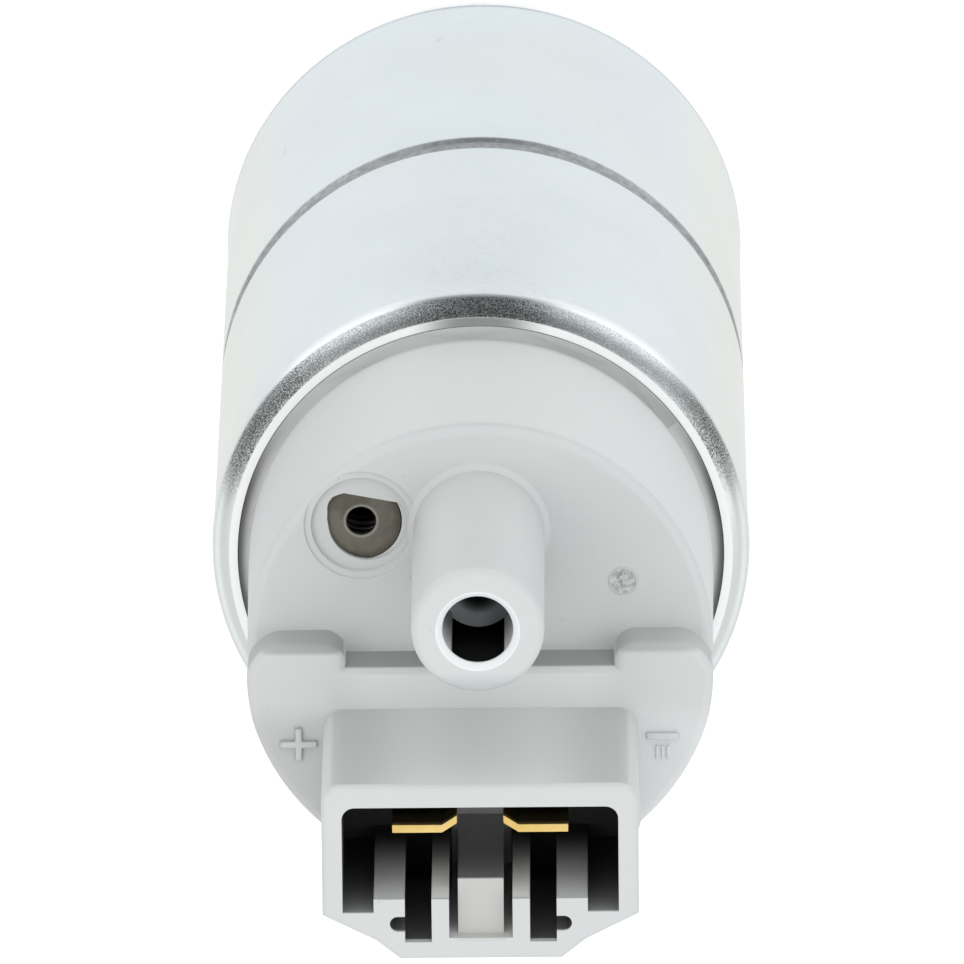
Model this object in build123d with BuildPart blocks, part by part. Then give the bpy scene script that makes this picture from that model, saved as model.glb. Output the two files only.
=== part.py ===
from build123d import *
from math import asin, cos, degrees, radians, sin, sqrt, tan
import os

# An electric fuel pump of the in-tank kind, standing on the rear rim of its can.
# Millimetres. +Z runs along the motor shaft to the outlet, the connector is on the -Y side,
# and the origin is the centre of the rear rim.

# Can
can_length = 66.0
can_radius = 19.0
can_wall = 1.3
rim_bulge = 0.08
rim_roll_radius = 1.9
rim_land_width = 0.65
rim_taper_length = 2.3
lip_thickness = 1.3
lip_overhang = 0.5
groove_height = 32.0
groove_width = 2.4
groove_depth = 0.25
groove_floor_width = 1.5

# Clearances
seat_gap = 0.1
glue_gap = 0.05
slide_gap = 0.05
bearing_gap = 0.04
press_gap = 0.01
face_gap = 0.05
tool_overrun = 1.0
level_tolerance = 0.01
impeller_face_gap = 0.1
impeller_rim_gap = 0.25

# Pump end
inlet_cover_height = 6.7
inlet_bore_radius = 5.5
inlet_bore_depth = 3.9
inlet_bore_offset = 9.0
inlet_boss_wall = 1.4
inlet_pocket_depth = 1.5
inlet_pocket_margin = 2.0
inlet_rib_width = 1.2
channel_edge = 2.25
channel_width = 3.6
channel_depth = 1.6
channel_sweep = 310.0
port_radius = 1.7
vent_radius = 0.5
vent_angle = 200.0
impeller_thickness = 3.2
casing_side_wall = 2.5
impeller_vane_count = 36
impeller_vane_thickness = 0.6
impeller_rim_wall = 0.7
impeller_balance_radius = 1.1
impeller_balance_circle = 6.2
casing_wall = 2.6
casing_collar_height = 6.5
casing_collar_wall = 1.4
casing_boss_radius = 6.6
casing_boss_height = 4.0
casing_boss_chamfer = 1.0

# Shaft and bearings
shaft_radius = 2.0
shaft_end_chamfer = 0.3
shaft_top_margin = 1.0
bearing_radius = 3.8
bearing_length = 5.6
bearing_chamfer = 0.4
bearing_shoulder = 1.0
bearing_shoulder_hole = 2.6
thrust_pad_radius = 2.6
thrust_pad_thickness = 1.4
thrust_pocket_depth = 4.2

# Motor
magnet_thickness = 4.7
magnet_sweep = 134.0
magnet_chamfer = 0.8
clip_thickness = 0.6
clip_side_angle = 0.3
clip_leg_length = 4.0
clip_end_margin = 1.5
air_gap = 0.7
core_end_margin = 4.0
slot_count = 8
slot_mouth = 1.6
tooth_tip_thickness = 1.0
core_hub_radius = 5.8
tooth_width = 2.7
slot_liner = 0.15
winding_overhang = 4.6
winding_outer_margin = 1.3
winding_hub_radius = 4.0
winding_chamfer = 1.6
commutator_radius = 9.6
commutator_bore = 4.2
commutator_thickness = 3.0
commutator_slit = 0.5
commutator_slit_depth = 1.8
commutator_hub_flange = 8.4
commutator_brush_gap = 0.6

# Brush holder
holder_plate_thickness = 2.5
holder_skirt_wall = 1.1
holder_skirt_height = 6.5
holder_tube_wall = 1.0
holder_tube_drop = 0.8
brush_spacing = 7.0
brush_width = 4.2
brush_depth = 5.0
brush_length = 8.5
brush_chamfer = 0.3
brush_spring_length = 7.0
brush_spring_radius = 1.55
brush_spring_wire = 0.22
brush_spring_turns = 4
holder_hub_wall = 1.4
holder_flow_inner = 10.6
holder_flow_outer = 15.6
holder_flow_sweep = 84.0
holder_rear_flow_sweep = 34.0
lead_slot_width = 1.4
choke_angle = -46.8
choke_wall_gap = 0.85
choke_core_radius = 1.6
choke_core_length = 16.2
choke_winding_radius = 2.45
choke_winding_length = 11.6
choke_socket_depth = 2.6
choke_socket_wall = 0.9
choke_socket_height = 7.6
choke_lead_radius = 0.35

# End cap
cap_spigot_height = 5.2
cap_lip_gap = 0.4
cap_ring_width = 0.4
cap_ring_height = 0.45
cap_draft = 0.18
cap_face_height = 17.8
cap_edge_round = 0.7
cap_wall = 2.0
cap_roof = 2.2
seal_groove_height = 1.8
seal_groove_depth = 1.4
seal_groove_lift = 1.1
seal_chamfer = 0.45
step_height = 3.5
step_y = -0.4
shoulder_y = 1.3
shoulder_x = 9.34
shoulder_inner_round = 1.6
shoulder_outer_round = 2.5

# Outlet
outlet_y = 8.52
outlet_height = 19.7
outlet_radius = 4.58
outlet_tip_round = 0.65
outlet_foot_round = 0.4
outlet_bore_radius = 2.45
outlet_bore_chamfer = 0.4
outlet_bore_depth = 7.9
outlet_slot_width = 3.6
outlet_slot_depth = 1.05
outlet_slot_start = 0.6
outlet_slot_overrun = 0.6
outlet_tail = 3.6
valve_bore_radius = 2.75
valve_guide_height = 3.0
valve_guide_dish = 0.85
valve_seat_height = 2.4
valve_seat_hole = 1.7
poppet_radius = 2.2
poppet_head_height = 1.7
poppet_lip = 0.6
poppet_stem_radius = 0.75
poppet_stem_drop = 1.0
check_spring_radius = 1.8
check_spring_wire = 0.25
check_spring_turns = 5

# Relief valve
relief_angle = 132.5
relief_edge_margin = 4.08
relief_step_radius = 4.0
relief_step_depth = 0.14
relief_recess_radius = 3.5
relief_recess_depth = 0.5
relief_ledge = 0.4
relief_window_radius = 2.75
relief_window_shift = 0.45
relief_window_left = 2.35
relief_window_top = 2.05
relief_window_slope = 11.0
relief_body_radius = 2.8
relief_body_wall = 0.4
relief_body_length = 7.0
relief_hole_radius = 1.03
relief_seat_length = 2.6
relief_orifice_radius = 0.8
relief_boss_wall = 1.05
relief_ball_radius = 1.6
relief_spring_radius = 1.68
relief_spring_wire = 0.2
relief_spring_turns = 4
relief_spring_lift = 0.8

# Connector
connector_height = 14.8
connector_half_width = 10.95
connector_front_y = -3.4
connector_side_y = -12.6
connector_step_x = 7.3
connector_step_y = -14.4
connector_rear_x = 5.3
connector_rear_y = -16.1
connector_corner = 1.4
connector_rim_round = 0.4
cavity_half_width = 9.55
cavity_front_y = -5.0
cavity_corner = 0.9
cavity_depth = 14.0
pocket_inner_x = 7.4
pocket_rear_y = -12.8
pad_front_y = -11.8
slot_outer_x = 5.25
rib_outer_x = 3.4
rib_inner_x = 2.2
key_slot_rear_y = -15.0
window_rear_y = -14.7
keyhole_y = -13.65
keyhole_reach = 6.3
keyhole_radius = 0.55
keyhole_depth = 2.5
ramp_half_width = 1.58
ramp_front_y = -11.0
ramp_drop = 0.9
ramp_slope_drop = 0.9
ramp_height = 5.0
ramp_root = 0.2

# Terminals
terminal_y = -7.75
terminal_inner_x = 2.65
terminal_width = 3.45
terminal_thickness = 0.6
terminal_wing = 1.05
terminal_wing_rise = 0.7
terminal_drop = 3.0
terminal_tip_chamfer = 0.2
terminal_foot_margin = 1.4
terminal_foot_thickness = 0.6
terminal_pocket_height = 3.8
terminal_pocket_margin = 0.5

# Levels along the shaft, from the rear rim up
can_inner_radius = can_radius - can_wall
fit_radius = can_inner_radius - seat_gap
lip_inner_radius = can_inner_radius - lip_overhang
crest_radius = can_radius + rim_bulge - rim_roll_radius
rim_land_radius = lip_inner_radius + rim_land_width
rim_roll_height = sqrt(rim_roll_radius**2 - (rim_land_radius - crest_radius) ** 2)
rim_roll_base = can_length - rim_roll_height
rear_seat = lip_thickness
casing_bottom = rear_seat + inlet_cover_height
impeller_bottom = casing_bottom + impeller_face_gap
impeller_roof = casing_bottom + impeller_thickness + 2 * impeller_face_gap
casing_top = impeller_roof + casing_wall
magnet_bottom = casing_top + casing_collar_height
casing_boss_top = casing_top + casing_boss_height
flange_top = can_length - lip_thickness
spigot_bottom = flange_top - cap_spigot_height
plate_bottom = spigot_bottom - holder_plate_thickness
magnet_top = plate_bottom - holder_skirt_height
magnet_length = magnet_top - magnet_bottom
core_bottom = magnet_bottom + core_end_margin
core_length = magnet_length - 2 * core_end_margin
core_top = core_bottom + core_length
winding_bottom = core_bottom - winding_overhang
winding_top = core_top + winding_overhang
brush_tube_bottom = plate_bottom - holder_tube_drop
commutator_top = brush_tube_bottom - commutator_brush_gap
commutator_bottom = commutator_top - commutator_thickness
brush_bottom = commutator_top + face_gap
brush_top = brush_bottom + brush_length
brush_spring_top = brush_top + brush_spring_length
upper_bearing_bottom = spigot_bottom + bearing_shoulder
upper_bearing_top = upper_bearing_bottom + bearing_length
shaft_top = upper_bearing_top + shaft_top_margin
thrust_pad_bottom = casing_bottom - thrust_pocket_depth
shaft_bottom = thrust_pad_bottom + thrust_pad_thickness + face_gap
cap_ring_radius = lip_inner_radius - cap_lip_gap
cap_base_radius = cap_ring_radius - cap_ring_width
cap_top_radius = cap_base_radius - cap_draft
cap_face = can_length + cap_face_height
block_top = cap_face + step_height
mouth = block_top + connector_height
outlet_top = cap_face + outlet_height
cap_cavity_radius = cap_base_radius - cap_wall
cap_cavity_top = cap_face - cap_roof
choke_distance = cap_cavity_radius - choke_wall_gap - choke_winding_radius
choke_x = choke_distance * cos(radians(choke_angle))
choke_y = choke_distance * sin(radians(choke_angle))
core_radius = fit_radius - magnet_thickness - air_gap
impeller_radius = fit_radius - casing_side_wall - impeller_rim_gap
channel_radius = impeller_radius - channel_edge
channel_inner = channel_radius - channel_width / 2
channel_outer = channel_radius + channel_width / 2
terminal_tip = mouth - terminal_drop
connector_floor = mouth - cavity_depth
terminal_pocket_top = cap_cavity_top + terminal_pocket_height
terminal_foot_bottom = terminal_pocket_top - terminal_pocket_margin - terminal_foot_thickness
terminal_foot_end = choke_x + terminal_foot_margin
relief_distance = cap_top_radius - relief_edge_margin
keyhole_end = keyhole_reach - keyhole_radius
relief_x = relief_distance * cos(radians(relief_angle))
relief_y = relief_distance * sin(radians(relief_angle))
relief_body_top = cap_face - relief_recess_depth - relief_ledge
relief_body_bottom = relief_body_top - relief_body_length
relief_seat_bottom = relief_body_bottom - relief_seat_length
valve_seat_bottom = cap_cavity_top - outlet_tail
valve_seat_top = valve_seat_bottom + valve_seat_height
guide_top = outlet_top - outlet_bore_depth
guide_bottom = guide_top - valve_guide_height
poppet_bottom = valve_seat_top + face_gap


def ring_sector(inner, outer, start, sweep_angle):
    """A flat ring's sector between two radii, from one angle on, as a sketch to add."""
    with BuildSketch() as sector:
        with BuildLine():
            outer_arc = CenterArc((0, 0), outer, start, sweep_angle)
            inner_arc = CenterArc((0, 0), inner, start, sweep_angle)
            Line(outer_arc @ 0, inner_arc @ 0)
            Line(outer_arc @ 1, inner_arc @ 1)
        make_face()
    return sector.sketch


def coil_spring(center, bottom, top, coil_radius, wire_radius, turns):
    """One unbroken four-sided wire wound round an axis, just inside the two heights."""
    rise = top - bottom - 2 * wire_radius - 2 * face_gap
    start = (center[0], center[1], bottom + wire_radius + face_gap)
    with BuildPart() as spring:
        with BuildLine() as wire_path:
            Helix(pitch=rise / turns, height=rise, radius=coil_radius, center=start)
        with BuildSketch(Plane(origin=wire_path.line @ 0, z_dir=wire_path.line % 0)):
            RegularPolygon(wire_radius, 4)
        sweep(path=wire_path.line, is_frenet=True)
    return spring.part


def save(part, name):
    """Labels a finished piece and writes it as its own STEP file."""
    part.label = name
    export_step(part, f"parts/{name}.step")


os.makedirs("parts", exist_ok=True)


# Can: a plated steel tube, its rims rolled inwards to a flat land at both ends, with one shallow ring groove
can_middle = can_length / 2
with BuildPart() as motor_can:
    with BuildSketch(Plane.XZ):
        with BuildLine():
            wall = Polyline(
                (can_inner_radius, can_middle),
                (can_radius, can_middle),
                (can_radius, rim_roll_base - rim_taper_length),
                (can_radius + rim_bulge, rim_roll_base),
            )
            roll_angle = degrees(asin(rim_roll_height / rim_roll_radius))
            roll = CenterArc((crest_radius, rim_roll_base), rim_roll_radius, 0, roll_angle)
            Polyline(
                roll @ 1,
                (lip_inner_radius, can_length),
                (lip_inner_radius, flange_top),
                (can_inner_radius, flange_top),
                wall @ 0,
            )
        make_face()
        mirror(about=Plane.XZ.offset(-can_middle))
    revolve(axis=Axis.Z)
    with BuildSketch(Plane.XZ):
        with BuildLine():
            Polyline(
                (can_radius - groove_depth, groove_height - groove_floor_width / 2),
                (can_radius, groove_height - groove_width / 2),
                (can_radius + rim_bulge, groove_height - groove_width / 2),
                (can_radius + rim_bulge, groove_height + groove_width / 2),
                (can_radius, groove_height + groove_width / 2),
                (can_radius - groove_depth, groove_height + groove_floor_width / 2),
                close=True,
            )
        make_face()
    revolve(axis=Axis.Z, mode=Mode.SUBTRACT)
save(motor_can.part, "motor_can")


# Inlet cover: a disc with the inlet bore, half of the flow channel and the pocket for the thrust pad
with BuildPart() as inlet_cover:
    with BuildSketch(Plane.XY.offset(rear_seat)):
        Circle(fit_radius)
    extrude(amount=inlet_cover_height)
    with BuildSketch(Plane.XY.offset(rear_seat)):
        Circle(fit_radius - inlet_pocket_margin)
        Circle(thrust_pad_radius + inlet_boss_wall, mode=Mode.SUBTRACT)
        with Locations((0, -inlet_bore_offset)):
            Circle(inlet_bore_radius + inlet_boss_wall, mode=Mode.SUBTRACT)
        for rib_angle in (0, 60, 120):
            Rectangle(2 * fit_radius, inlet_rib_width, rotation=rib_angle, mode=Mode.SUBTRACT)
    extrude(amount=inlet_pocket_depth, mode=Mode.SUBTRACT)
    with Locations(Plane(origin=(0, -inlet_bore_offset, rear_seat), z_dir=(0, 0, -1))):
        Hole(inlet_bore_radius, depth=inlet_bore_depth)
    with BuildSketch(Plane.XY.offset(casing_bottom)):
        add(ring_sector(channel_inner, channel_outer, -90 - channel_sweep, channel_sweep))
        with Locations((0, -channel_radius)):
            Circle(channel_width / 2)
    extrude(amount=-channel_depth, mode=Mode.SUBTRACT)
    with BuildSketch(Plane.XY.offset(rear_seat)):
        with Locations((0, -channel_radius)):
            Circle(port_radius)
        with PolarLocations(channel_radius, 1, start_angle=vent_angle):
            Circle(vent_radius)
    extrude(amount=inlet_cover_height, mode=Mode.SUBTRACT)
    with Locations(Plane.XY.offset(casing_bottom)):
        Hole(thrust_pad_radius + slide_gap, depth=thrust_pocket_depth)
save(inlet_cover.part, "inlet_cover")


# Thrust pad: the hard disc that the shaft end runs on
with BuildPart() as thrust_pad:
    with BuildSketch(Plane.XY.offset(thrust_pad_bottom)):
        Circle(thrust_pad_radius)
    extrude(amount=thrust_pad_thickness)
    chamfer(thrust_pad.edges().group_by(Axis.Z)[-1], thrust_pad_thickness / 4)
save(thrust_pad.part, "thrust_pad")


# Impeller: a disc with through vanes inside a thin rim, three balance holes and a bore pressed on the shaft
vane_inner = channel_inner + glue_gap
vane_outer = impeller_radius - impeller_rim_wall
vane_pitch_angle = 360 / impeller_vane_count
with BuildPart() as impeller:
    with BuildSketch(Plane.XY.offset(impeller_bottom)):
        Circle(impeller_radius)
        vane_gap_inner = 2 * vane_inner * sin(radians(vane_pitch_angle / 2)) - impeller_vane_thickness
        vane_gap_outer = 2 * vane_outer * sin(radians(vane_pitch_angle / 2)) - impeller_vane_thickness
        with PolarLocations(0, impeller_vane_count):
            with BuildLine():
                Polyline(
                    (vane_inner, -vane_gap_inner / 2),
                    (vane_outer, -vane_gap_outer / 2),
                    (vane_outer, vane_gap_outer / 2),
                    (vane_inner, vane_gap_inner / 2),
                    close=True,
                )
            make_face(mode=Mode.SUBTRACT)
        with PolarLocations(impeller_balance_circle, 3):
            Circle(impeller_balance_radius, mode=Mode.SUBTRACT)
        Circle(shaft_radius + press_gap, mode=Mode.SUBTRACT)
    extrude(amount=impeller_thickness)
save(impeller.part, "impeller")


# Pump casing: the impeller's pocket and the other half of the channel below, bearing boss and collar above
channel_end_angle = -90 - channel_sweep
with BuildPart() as pump_casing:
    with BuildSketch(Plane.XZ):
        with BuildLine():
            Polyline(
                (0, casing_bottom),
                (fit_radius, casing_bottom),
                (fit_radius, magnet_bottom),
                (fit_radius - casing_collar_wall, magnet_bottom),
                (fit_radius - casing_collar_wall, casing_top),
                (casing_boss_radius + casing_boss_chamfer, casing_top),
                (casing_boss_radius, casing_top + casing_boss_chamfer),
                (casing_boss_radius, casing_boss_top),
                (0, casing_boss_top),
                close=True,
            )
        make_face()
    revolve(axis=Axis.Z)
    with BuildSketch(Plane.XY.offset(casing_bottom)):
        Circle(impeller_radius + impeller_rim_gap)
    extrude(amount=impeller_roof - casing_bottom, mode=Mode.SUBTRACT)
    with BuildSketch(Plane.XY.offset(impeller_roof)):
        add(ring_sector(channel_inner, channel_outer, channel_end_angle, channel_sweep))
        with PolarLocations(channel_radius, 1, start_angle=channel_end_angle):
            Circle(channel_width / 2)
    extrude(amount=channel_depth, mode=Mode.SUBTRACT)
    with BuildSketch(Plane.XY.offset(impeller_roof)):
        with PolarLocations(channel_radius, 1, start_angle=channel_end_angle):
            Circle(port_radius)
        Circle(bearing_shoulder_hole)
    extrude(amount=casing_boss_top - impeller_roof, mode=Mode.SUBTRACT)
    with Locations(Plane.XY.offset(casing_boss_top)):
        Hole(bearing_radius + glue_gap, depth=casing_boss_top - impeller_roof - bearing_shoulder)
save(pump_casing.part, "pump_casing")


def plain_bearing(bottom):
    """A sintered bush with broken edges, its bore a running fit on the shaft."""
    with BuildPart() as bush:
        with BuildSketch(Plane.XY.offset(bottom)):
            Circle(bearing_radius)
            Circle(shaft_radius + bearing_gap, mode=Mode.SUBTRACT)
        extrude(amount=bearing_length)
        chamfer(bush.edges().filter_by(GeomType.CIRCLE), bearing_chamfer)
    return bush.part


save(plain_bearing(impeller_roof + bearing_shoulder), "lower_bearing")
save(plain_bearing(upper_bearing_bottom), "upper_bearing")


# Shaft: a ground pin with chamfered ends
with BuildPart() as shaft:
    with BuildSketch(Plane.XY.offset(shaft_bottom)):
        Circle(shaft_radius)
    extrude(amount=shaft_top - shaft_bottom)
    chamfer(shaft.edges().filter_by(GeomType.CIRCLE), shaft_end_chamfer)
save(shaft.part, "shaft")


# Magnets: two ferrite arcs against the can's wall, the poles on the X axis
for side, pole_angle in (("a", 0), ("b", 180)):
    with BuildPart() as magnet:
        with BuildSketch(Plane.XY.offset(magnet_bottom)):
            add(
                ring_sector(
                    fit_radius - magnet_thickness,
                    fit_radius,
                    pole_angle - magnet_sweep / 2,
                    magnet_sweep,
                )
            )
        extrude(amount=magnet_length)
        pole_tips = magnet.edges().filter_by(Axis.Z).sort_by(lambda edge: abs(edge.center().X))[2:]
        chamfer(pole_tips, magnet_chamfer)
    save(magnet.part, f"magnet_{side}")


# Magnet clips: U-shaped spring strips that push the two magnets apart
clip_sweep = 180 - magnet_sweep - 2 * clip_side_angle
clip_side_sweep = degrees(clip_thickness / fit_radius)
for side, gap_angle in (("a", 90), ("b", 270)):
    with BuildPart() as magnet_clip:
        with BuildSketch(Plane.XY.offset(magnet_bottom)):
            add(ring_sector(fit_radius - clip_leg_length, fit_radius, gap_angle - clip_sweep / 2, clip_sweep))
            add(
                ring_sector(
                    fit_radius - clip_leg_length - tool_overrun,
                    fit_radius - clip_thickness,
                    gap_angle - clip_sweep / 2 + clip_side_sweep,
                    clip_sweep - 2 * clip_side_sweep,
                ),
                mode=Mode.SUBTRACT,
            )
        extrude(amount=magnet_length - clip_end_margin)
    save(magnet_clip.part, f"magnet_clip_{side}")


# Armature: a slotted stack of laminations, its coils in the slots and round both ends
slot_top_radius = core_radius - tooth_tip_thickness
half_pitch = radians(180 / slot_count)


def slot_half_width(radius):
    """Half the room between two parallel-sided teeth at a radius."""
    return radius * tan(half_pitch) - tooth_width / 2 / cos(half_pitch)


def slot_outline(shrink):
    """One winding slot as a sketch to add, widening from its floor to under the tooth tips."""
    with BuildSketch() as outline:
        with BuildLine():
            Polyline(
                (core_hub_radius + shrink, -slot_half_width(core_hub_radius) + shrink),
                (slot_top_radius - shrink, -slot_half_width(slot_top_radius) + shrink),
                (slot_top_radius - shrink, slot_half_width(slot_top_radius) - shrink),
                (core_hub_radius + shrink, slot_half_width(core_hub_radius) - shrink),
                close=True,
            )
        make_face()
    return outline.sketch


with BuildPart() as armature_core:
    with BuildSketch(Plane.XY.offset(core_bottom)):
        Circle(core_radius)
        with PolarLocations(0, slot_count):
            add(slot_outline(0), mode=Mode.SUBTRACT)
        with PolarLocations(slot_top_radius, slot_count):
            Rectangle(2 * tooth_tip_thickness + tool_overrun, slot_mouth, mode=Mode.SUBTRACT)
        Circle(shaft_radius + press_gap, mode=Mode.SUBTRACT)
    extrude(amount=core_length)
save(armature_core.part, "armature_core")

winding_outer = core_radius - winding_outer_margin
with BuildPart() as armature_winding:
    with BuildSketch(Plane.XY.offset(core_bottom)):
        with PolarLocations(0, slot_count):
            add(slot_outline(slot_liner))
    extrude(amount=core_length)
    for end_bottom in (winding_bottom, core_top):
        with BuildSketch(Plane.XY.offset(end_bottom)):
            Circle(winding_outer)
            Circle(winding_hub_radius, mode=Mode.SUBTRACT)
        extrude(amount=winding_overhang)
    far_edges = armature_winding.edges().filter_by(GeomType.CIRCLE)
    chamfer(far_edges.group_by(Axis.Z)[0] + far_edges.group_by(Axis.Z)[-1], winding_chamfer)
save(armature_winding.part, "armature_winding")


# Commutator: a moulded hub on the shaft with a flat slit disc for the brushes
with BuildPart() as commutator_hub:
    with BuildSketch(Plane.XZ):
        with BuildLine():
            Polyline(
                (shaft_radius + press_gap, core_top + face_gap),
                (winding_hub_radius - slot_liner, core_top + face_gap),
                (winding_hub_radius - slot_liner, winding_top),
                (commutator_hub_flange, winding_top + face_gap),
                (commutator_hub_flange, commutator_bottom),
                (commutator_bore - press_gap, commutator_bottom),
                (commutator_bore - press_gap, commutator_top - commutator_slit_depth),
                (shaft_radius + press_gap, commutator_top - commutator_slit_depth),
                close=True,
            )
        make_face()
    revolve(axis=Axis.Z)
save(commutator_hub.part, "commutator_hub")

with BuildPart() as commutator:
    with BuildSketch(Plane.XY.offset(commutator_bottom)):
        Circle(commutator_radius)
        Circle(commutator_bore, mode=Mode.SUBTRACT)
    extrude(amount=commutator_thickness)
    with BuildSketch(Plane.XY.offset(commutator_top)):
        for pair in range(slot_count // 2):
            Rectangle(2 * commutator_radius + tool_overrun, commutator_slit, rotation=pair * 360 / slot_count)
    extrude(amount=-commutator_slit_depth, mode=Mode.SUBTRACT)
save(commutator.part, "commutator")


# Brush holder: a moulded plate on the magnets, with two closed brush tubes, the upper bearing's hub,
# a socket for each choke and two flow openings
tube_inner_x = brush_width + 2 * slide_gap
tube_inner_y = brush_depth + 2 * slide_gap
tube_top = brush_spring_top + holder_tube_wall
hub_radius = bearing_radius + holder_hub_wall
socket_radius = choke_core_radius + glue_gap + choke_socket_wall
choke_core_bottom = spigot_bottom + choke_socket_height - choke_socket_depth
with BuildPart() as brush_holder:
    with BuildSketch(Plane.XY.offset(plate_bottom)):
        Circle(fit_radius)
        add(
            ring_sector(holder_flow_inner, holder_flow_outer, 90 - holder_flow_sweep / 2, holder_flow_sweep),
            mode=Mode.SUBTRACT,
        )
        add(
            ring_sector(
                holder_flow_inner, holder_flow_outer, -90 - holder_rear_flow_sweep / 2, holder_rear_flow_sweep
            ),
            mode=Mode.SUBTRACT,
        )
    extrude(amount=holder_plate_thickness)
    with BuildSketch(Plane.XY.offset(magnet_top)):
        Circle(fit_radius)
        Circle(fit_radius - holder_skirt_wall, mode=Mode.SUBTRACT)
    extrude(amount=plate_bottom - magnet_top)
    with BuildSketch(Plane.XY.offset(brush_tube_bottom)):
        with Locations((-brush_spacing, 0), (brush_spacing, 0)):
            Rectangle(tube_inner_x + 2 * holder_tube_wall, tube_inner_y + 2 * holder_tube_wall)
    extrude(amount=tube_top - brush_tube_bottom)
    with BuildSketch(Plane.XY.offset(spigot_bottom)):
        Circle(hub_radius)
    extrude(amount=upper_bearing_top - spigot_bottom)
    with BuildSketch(Plane.XY.offset(spigot_bottom)):
        with Locations((-choke_x, choke_y), (choke_x, choke_y)):
            Circle(socket_radius)
    extrude(amount=choke_socket_height)
    with BuildSketch(Plane.XY.offset(brush_tube_bottom)):
        with Locations((-brush_spacing, 0), (brush_spacing, 0)):
            Rectangle(tube_inner_x, tube_inner_y)
    extrude(amount=brush_spring_top - brush_tube_bottom, mode=Mode.SUBTRACT)
    with BuildSketch(Plane.XY.offset(spigot_bottom)):
        with Locations((-brush_spacing, -tube_inner_y / 2), (brush_spacing, -tube_inner_y / 2)):
            Rectangle(lead_slot_width, 2 * holder_tube_wall + tool_overrun)
    extrude(amount=brush_spring_top - spigot_bottom, mode=Mode.SUBTRACT)
    with Locations(Plane.XY.offset(upper_bearing_top)):
        Hole(bearing_radius + glue_gap, depth=bearing_length)
    with Locations(Plane.XY.offset(upper_bearing_bottom)):
        Hole(bearing_shoulder_hole, depth=upper_bearing_bottom - brush_tube_bottom)
    with Locations((-choke_x, choke_y, spigot_bottom + choke_socket_height)):
        Hole(choke_core_radius + glue_gap, depth=choke_socket_depth)
    with Locations((choke_x, choke_y, spigot_bottom + choke_socket_height)):
        Hole(choke_core_radius + glue_gap, depth=choke_socket_depth)
save(brush_holder.part, "brush_holder")


# Brushes and their springs: carbon blocks pressed down onto the flat commutator
for side, sign in (("a", 1), ("b", -1)):
    with BuildPart() as brush:
        with BuildSketch(Plane.XY.offset(brush_bottom)):
            with Locations((sign * brush_spacing, 0)):
                Rectangle(brush_width, brush_depth)
        extrude(amount=brush_length)
        chamfer(brush.edges().group_by(Axis.Z)[0], brush_chamfer)
    save(brush.part, f"brush_{side}")
    spring_center = (sign * brush_spacing, 0)
    brush_spring = coil_spring(
        spring_center, brush_top, brush_spring_top, brush_spring_radius, brush_spring_wire, brush_spring_turns
    )
    save(brush_spring, f"brush_spring_{side}")


# Chokes: a ferrite rod standing in its socket, a coil on it with a lead to the terminal's foot
# and a braid from the coil to the slot of the brush tube
winding_gap_bottom = spigot_bottom + choke_socket_height + face_gap
choke_coil_top = winding_gap_bottom + choke_winding_length
braid_height = winding_gap_bottom + choke_lead_radius
for side, sign in (("positive", -1), ("negative", 1)):
    with BuildPart() as choke_core:
        with BuildSketch(Plane.XY.offset(choke_core_bottom)):
            with Locations((sign * choke_x, choke_y)):
                Circle(choke_core_radius)
        extrude(amount=choke_core_length)
        chamfer(choke_core.edges().filter_by(GeomType.CIRCLE), choke_core_radius / 8)
    save(choke_core.part, f"choke_core_{side}")

    with BuildPart() as choke_winding:
        with BuildSketch(Plane.XY.offset(winding_gap_bottom)):
            with Locations((sign * choke_x, choke_y)):
                Circle(choke_winding_radius)
                Circle(choke_core_radius + glue_gap, mode=Mode.SUBTRACT)
        extrude(amount=choke_winding_length)
        lead_x = sign * (choke_x - (choke_core_radius + choke_winding_radius) / 2)
        with BuildSketch(Plane.XY.offset(choke_coil_top)):
            with Locations((lead_x, choke_y)):
                Circle(choke_lead_radius)
        extrude(amount=terminal_foot_bottom - choke_coil_top)
        braid_start = choke_y + (choke_core_radius + choke_winding_radius) / 2
        braid_end = -tube_inner_y / 2 - holder_tube_wall - face_gap
        with BuildLine() as braid_path:
            Line((sign * choke_x, braid_start, braid_height), (sign * brush_spacing, braid_end, braid_height))
        with BuildSketch(Plane(origin=braid_path.line @ 0, z_dir=braid_path.line % 0)):
            Circle(choke_lead_radius)
        sweep(path=braid_path.line)
    save(choke_winding.part, f"choke_winding_{side}")


# Terminals: brass blades with one edge bent up, standing on a foot over the choke
for side, sign in (("positive", -1), ("negative", 1)):
    edge_x = terminal_inner_x - terminal_wing
    with BuildPart() as terminal:
        with BuildSketch(Plane.XY.offset(terminal_foot_bottom)):
            with BuildLine():
                Polyline(
                    (sign * (terminal_inner_x + terminal_width), terminal_y - terminal_thickness / 2),
                    (sign * terminal_inner_x, terminal_y - terminal_thickness / 2),
                    (sign * edge_x, terminal_y - terminal_thickness / 2 + terminal_wing_rise),
                    (sign * edge_x, terminal_y + terminal_thickness / 2 + terminal_wing_rise),
                    (sign * terminal_inner_x, terminal_y + terminal_thickness / 2),
                    (sign * (terminal_inner_x + terminal_width), terminal_y + terminal_thickness / 2),
                    close=True,
                )
            make_face()
        extrude(amount=terminal_tip - terminal_foot_bottom)
        tip_edges = terminal.edges().group_by(Axis.Z)[-1].filter_by(Axis.X)
        chamfer(tip_edges, terminal_tip_chamfer)
        with BuildSketch(Plane.XY.offset(terminal_foot_bottom)):
            with Locations((sign * (terminal_inner_x + terminal_foot_end) / 2, terminal_y)):
                Rectangle(terminal_foot_end - terminal_inner_x, 2 * choke_core_radius)
        extrude(amount=terminal_foot_thickness)
    save(terminal.part, f"terminal_{side}")


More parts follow.
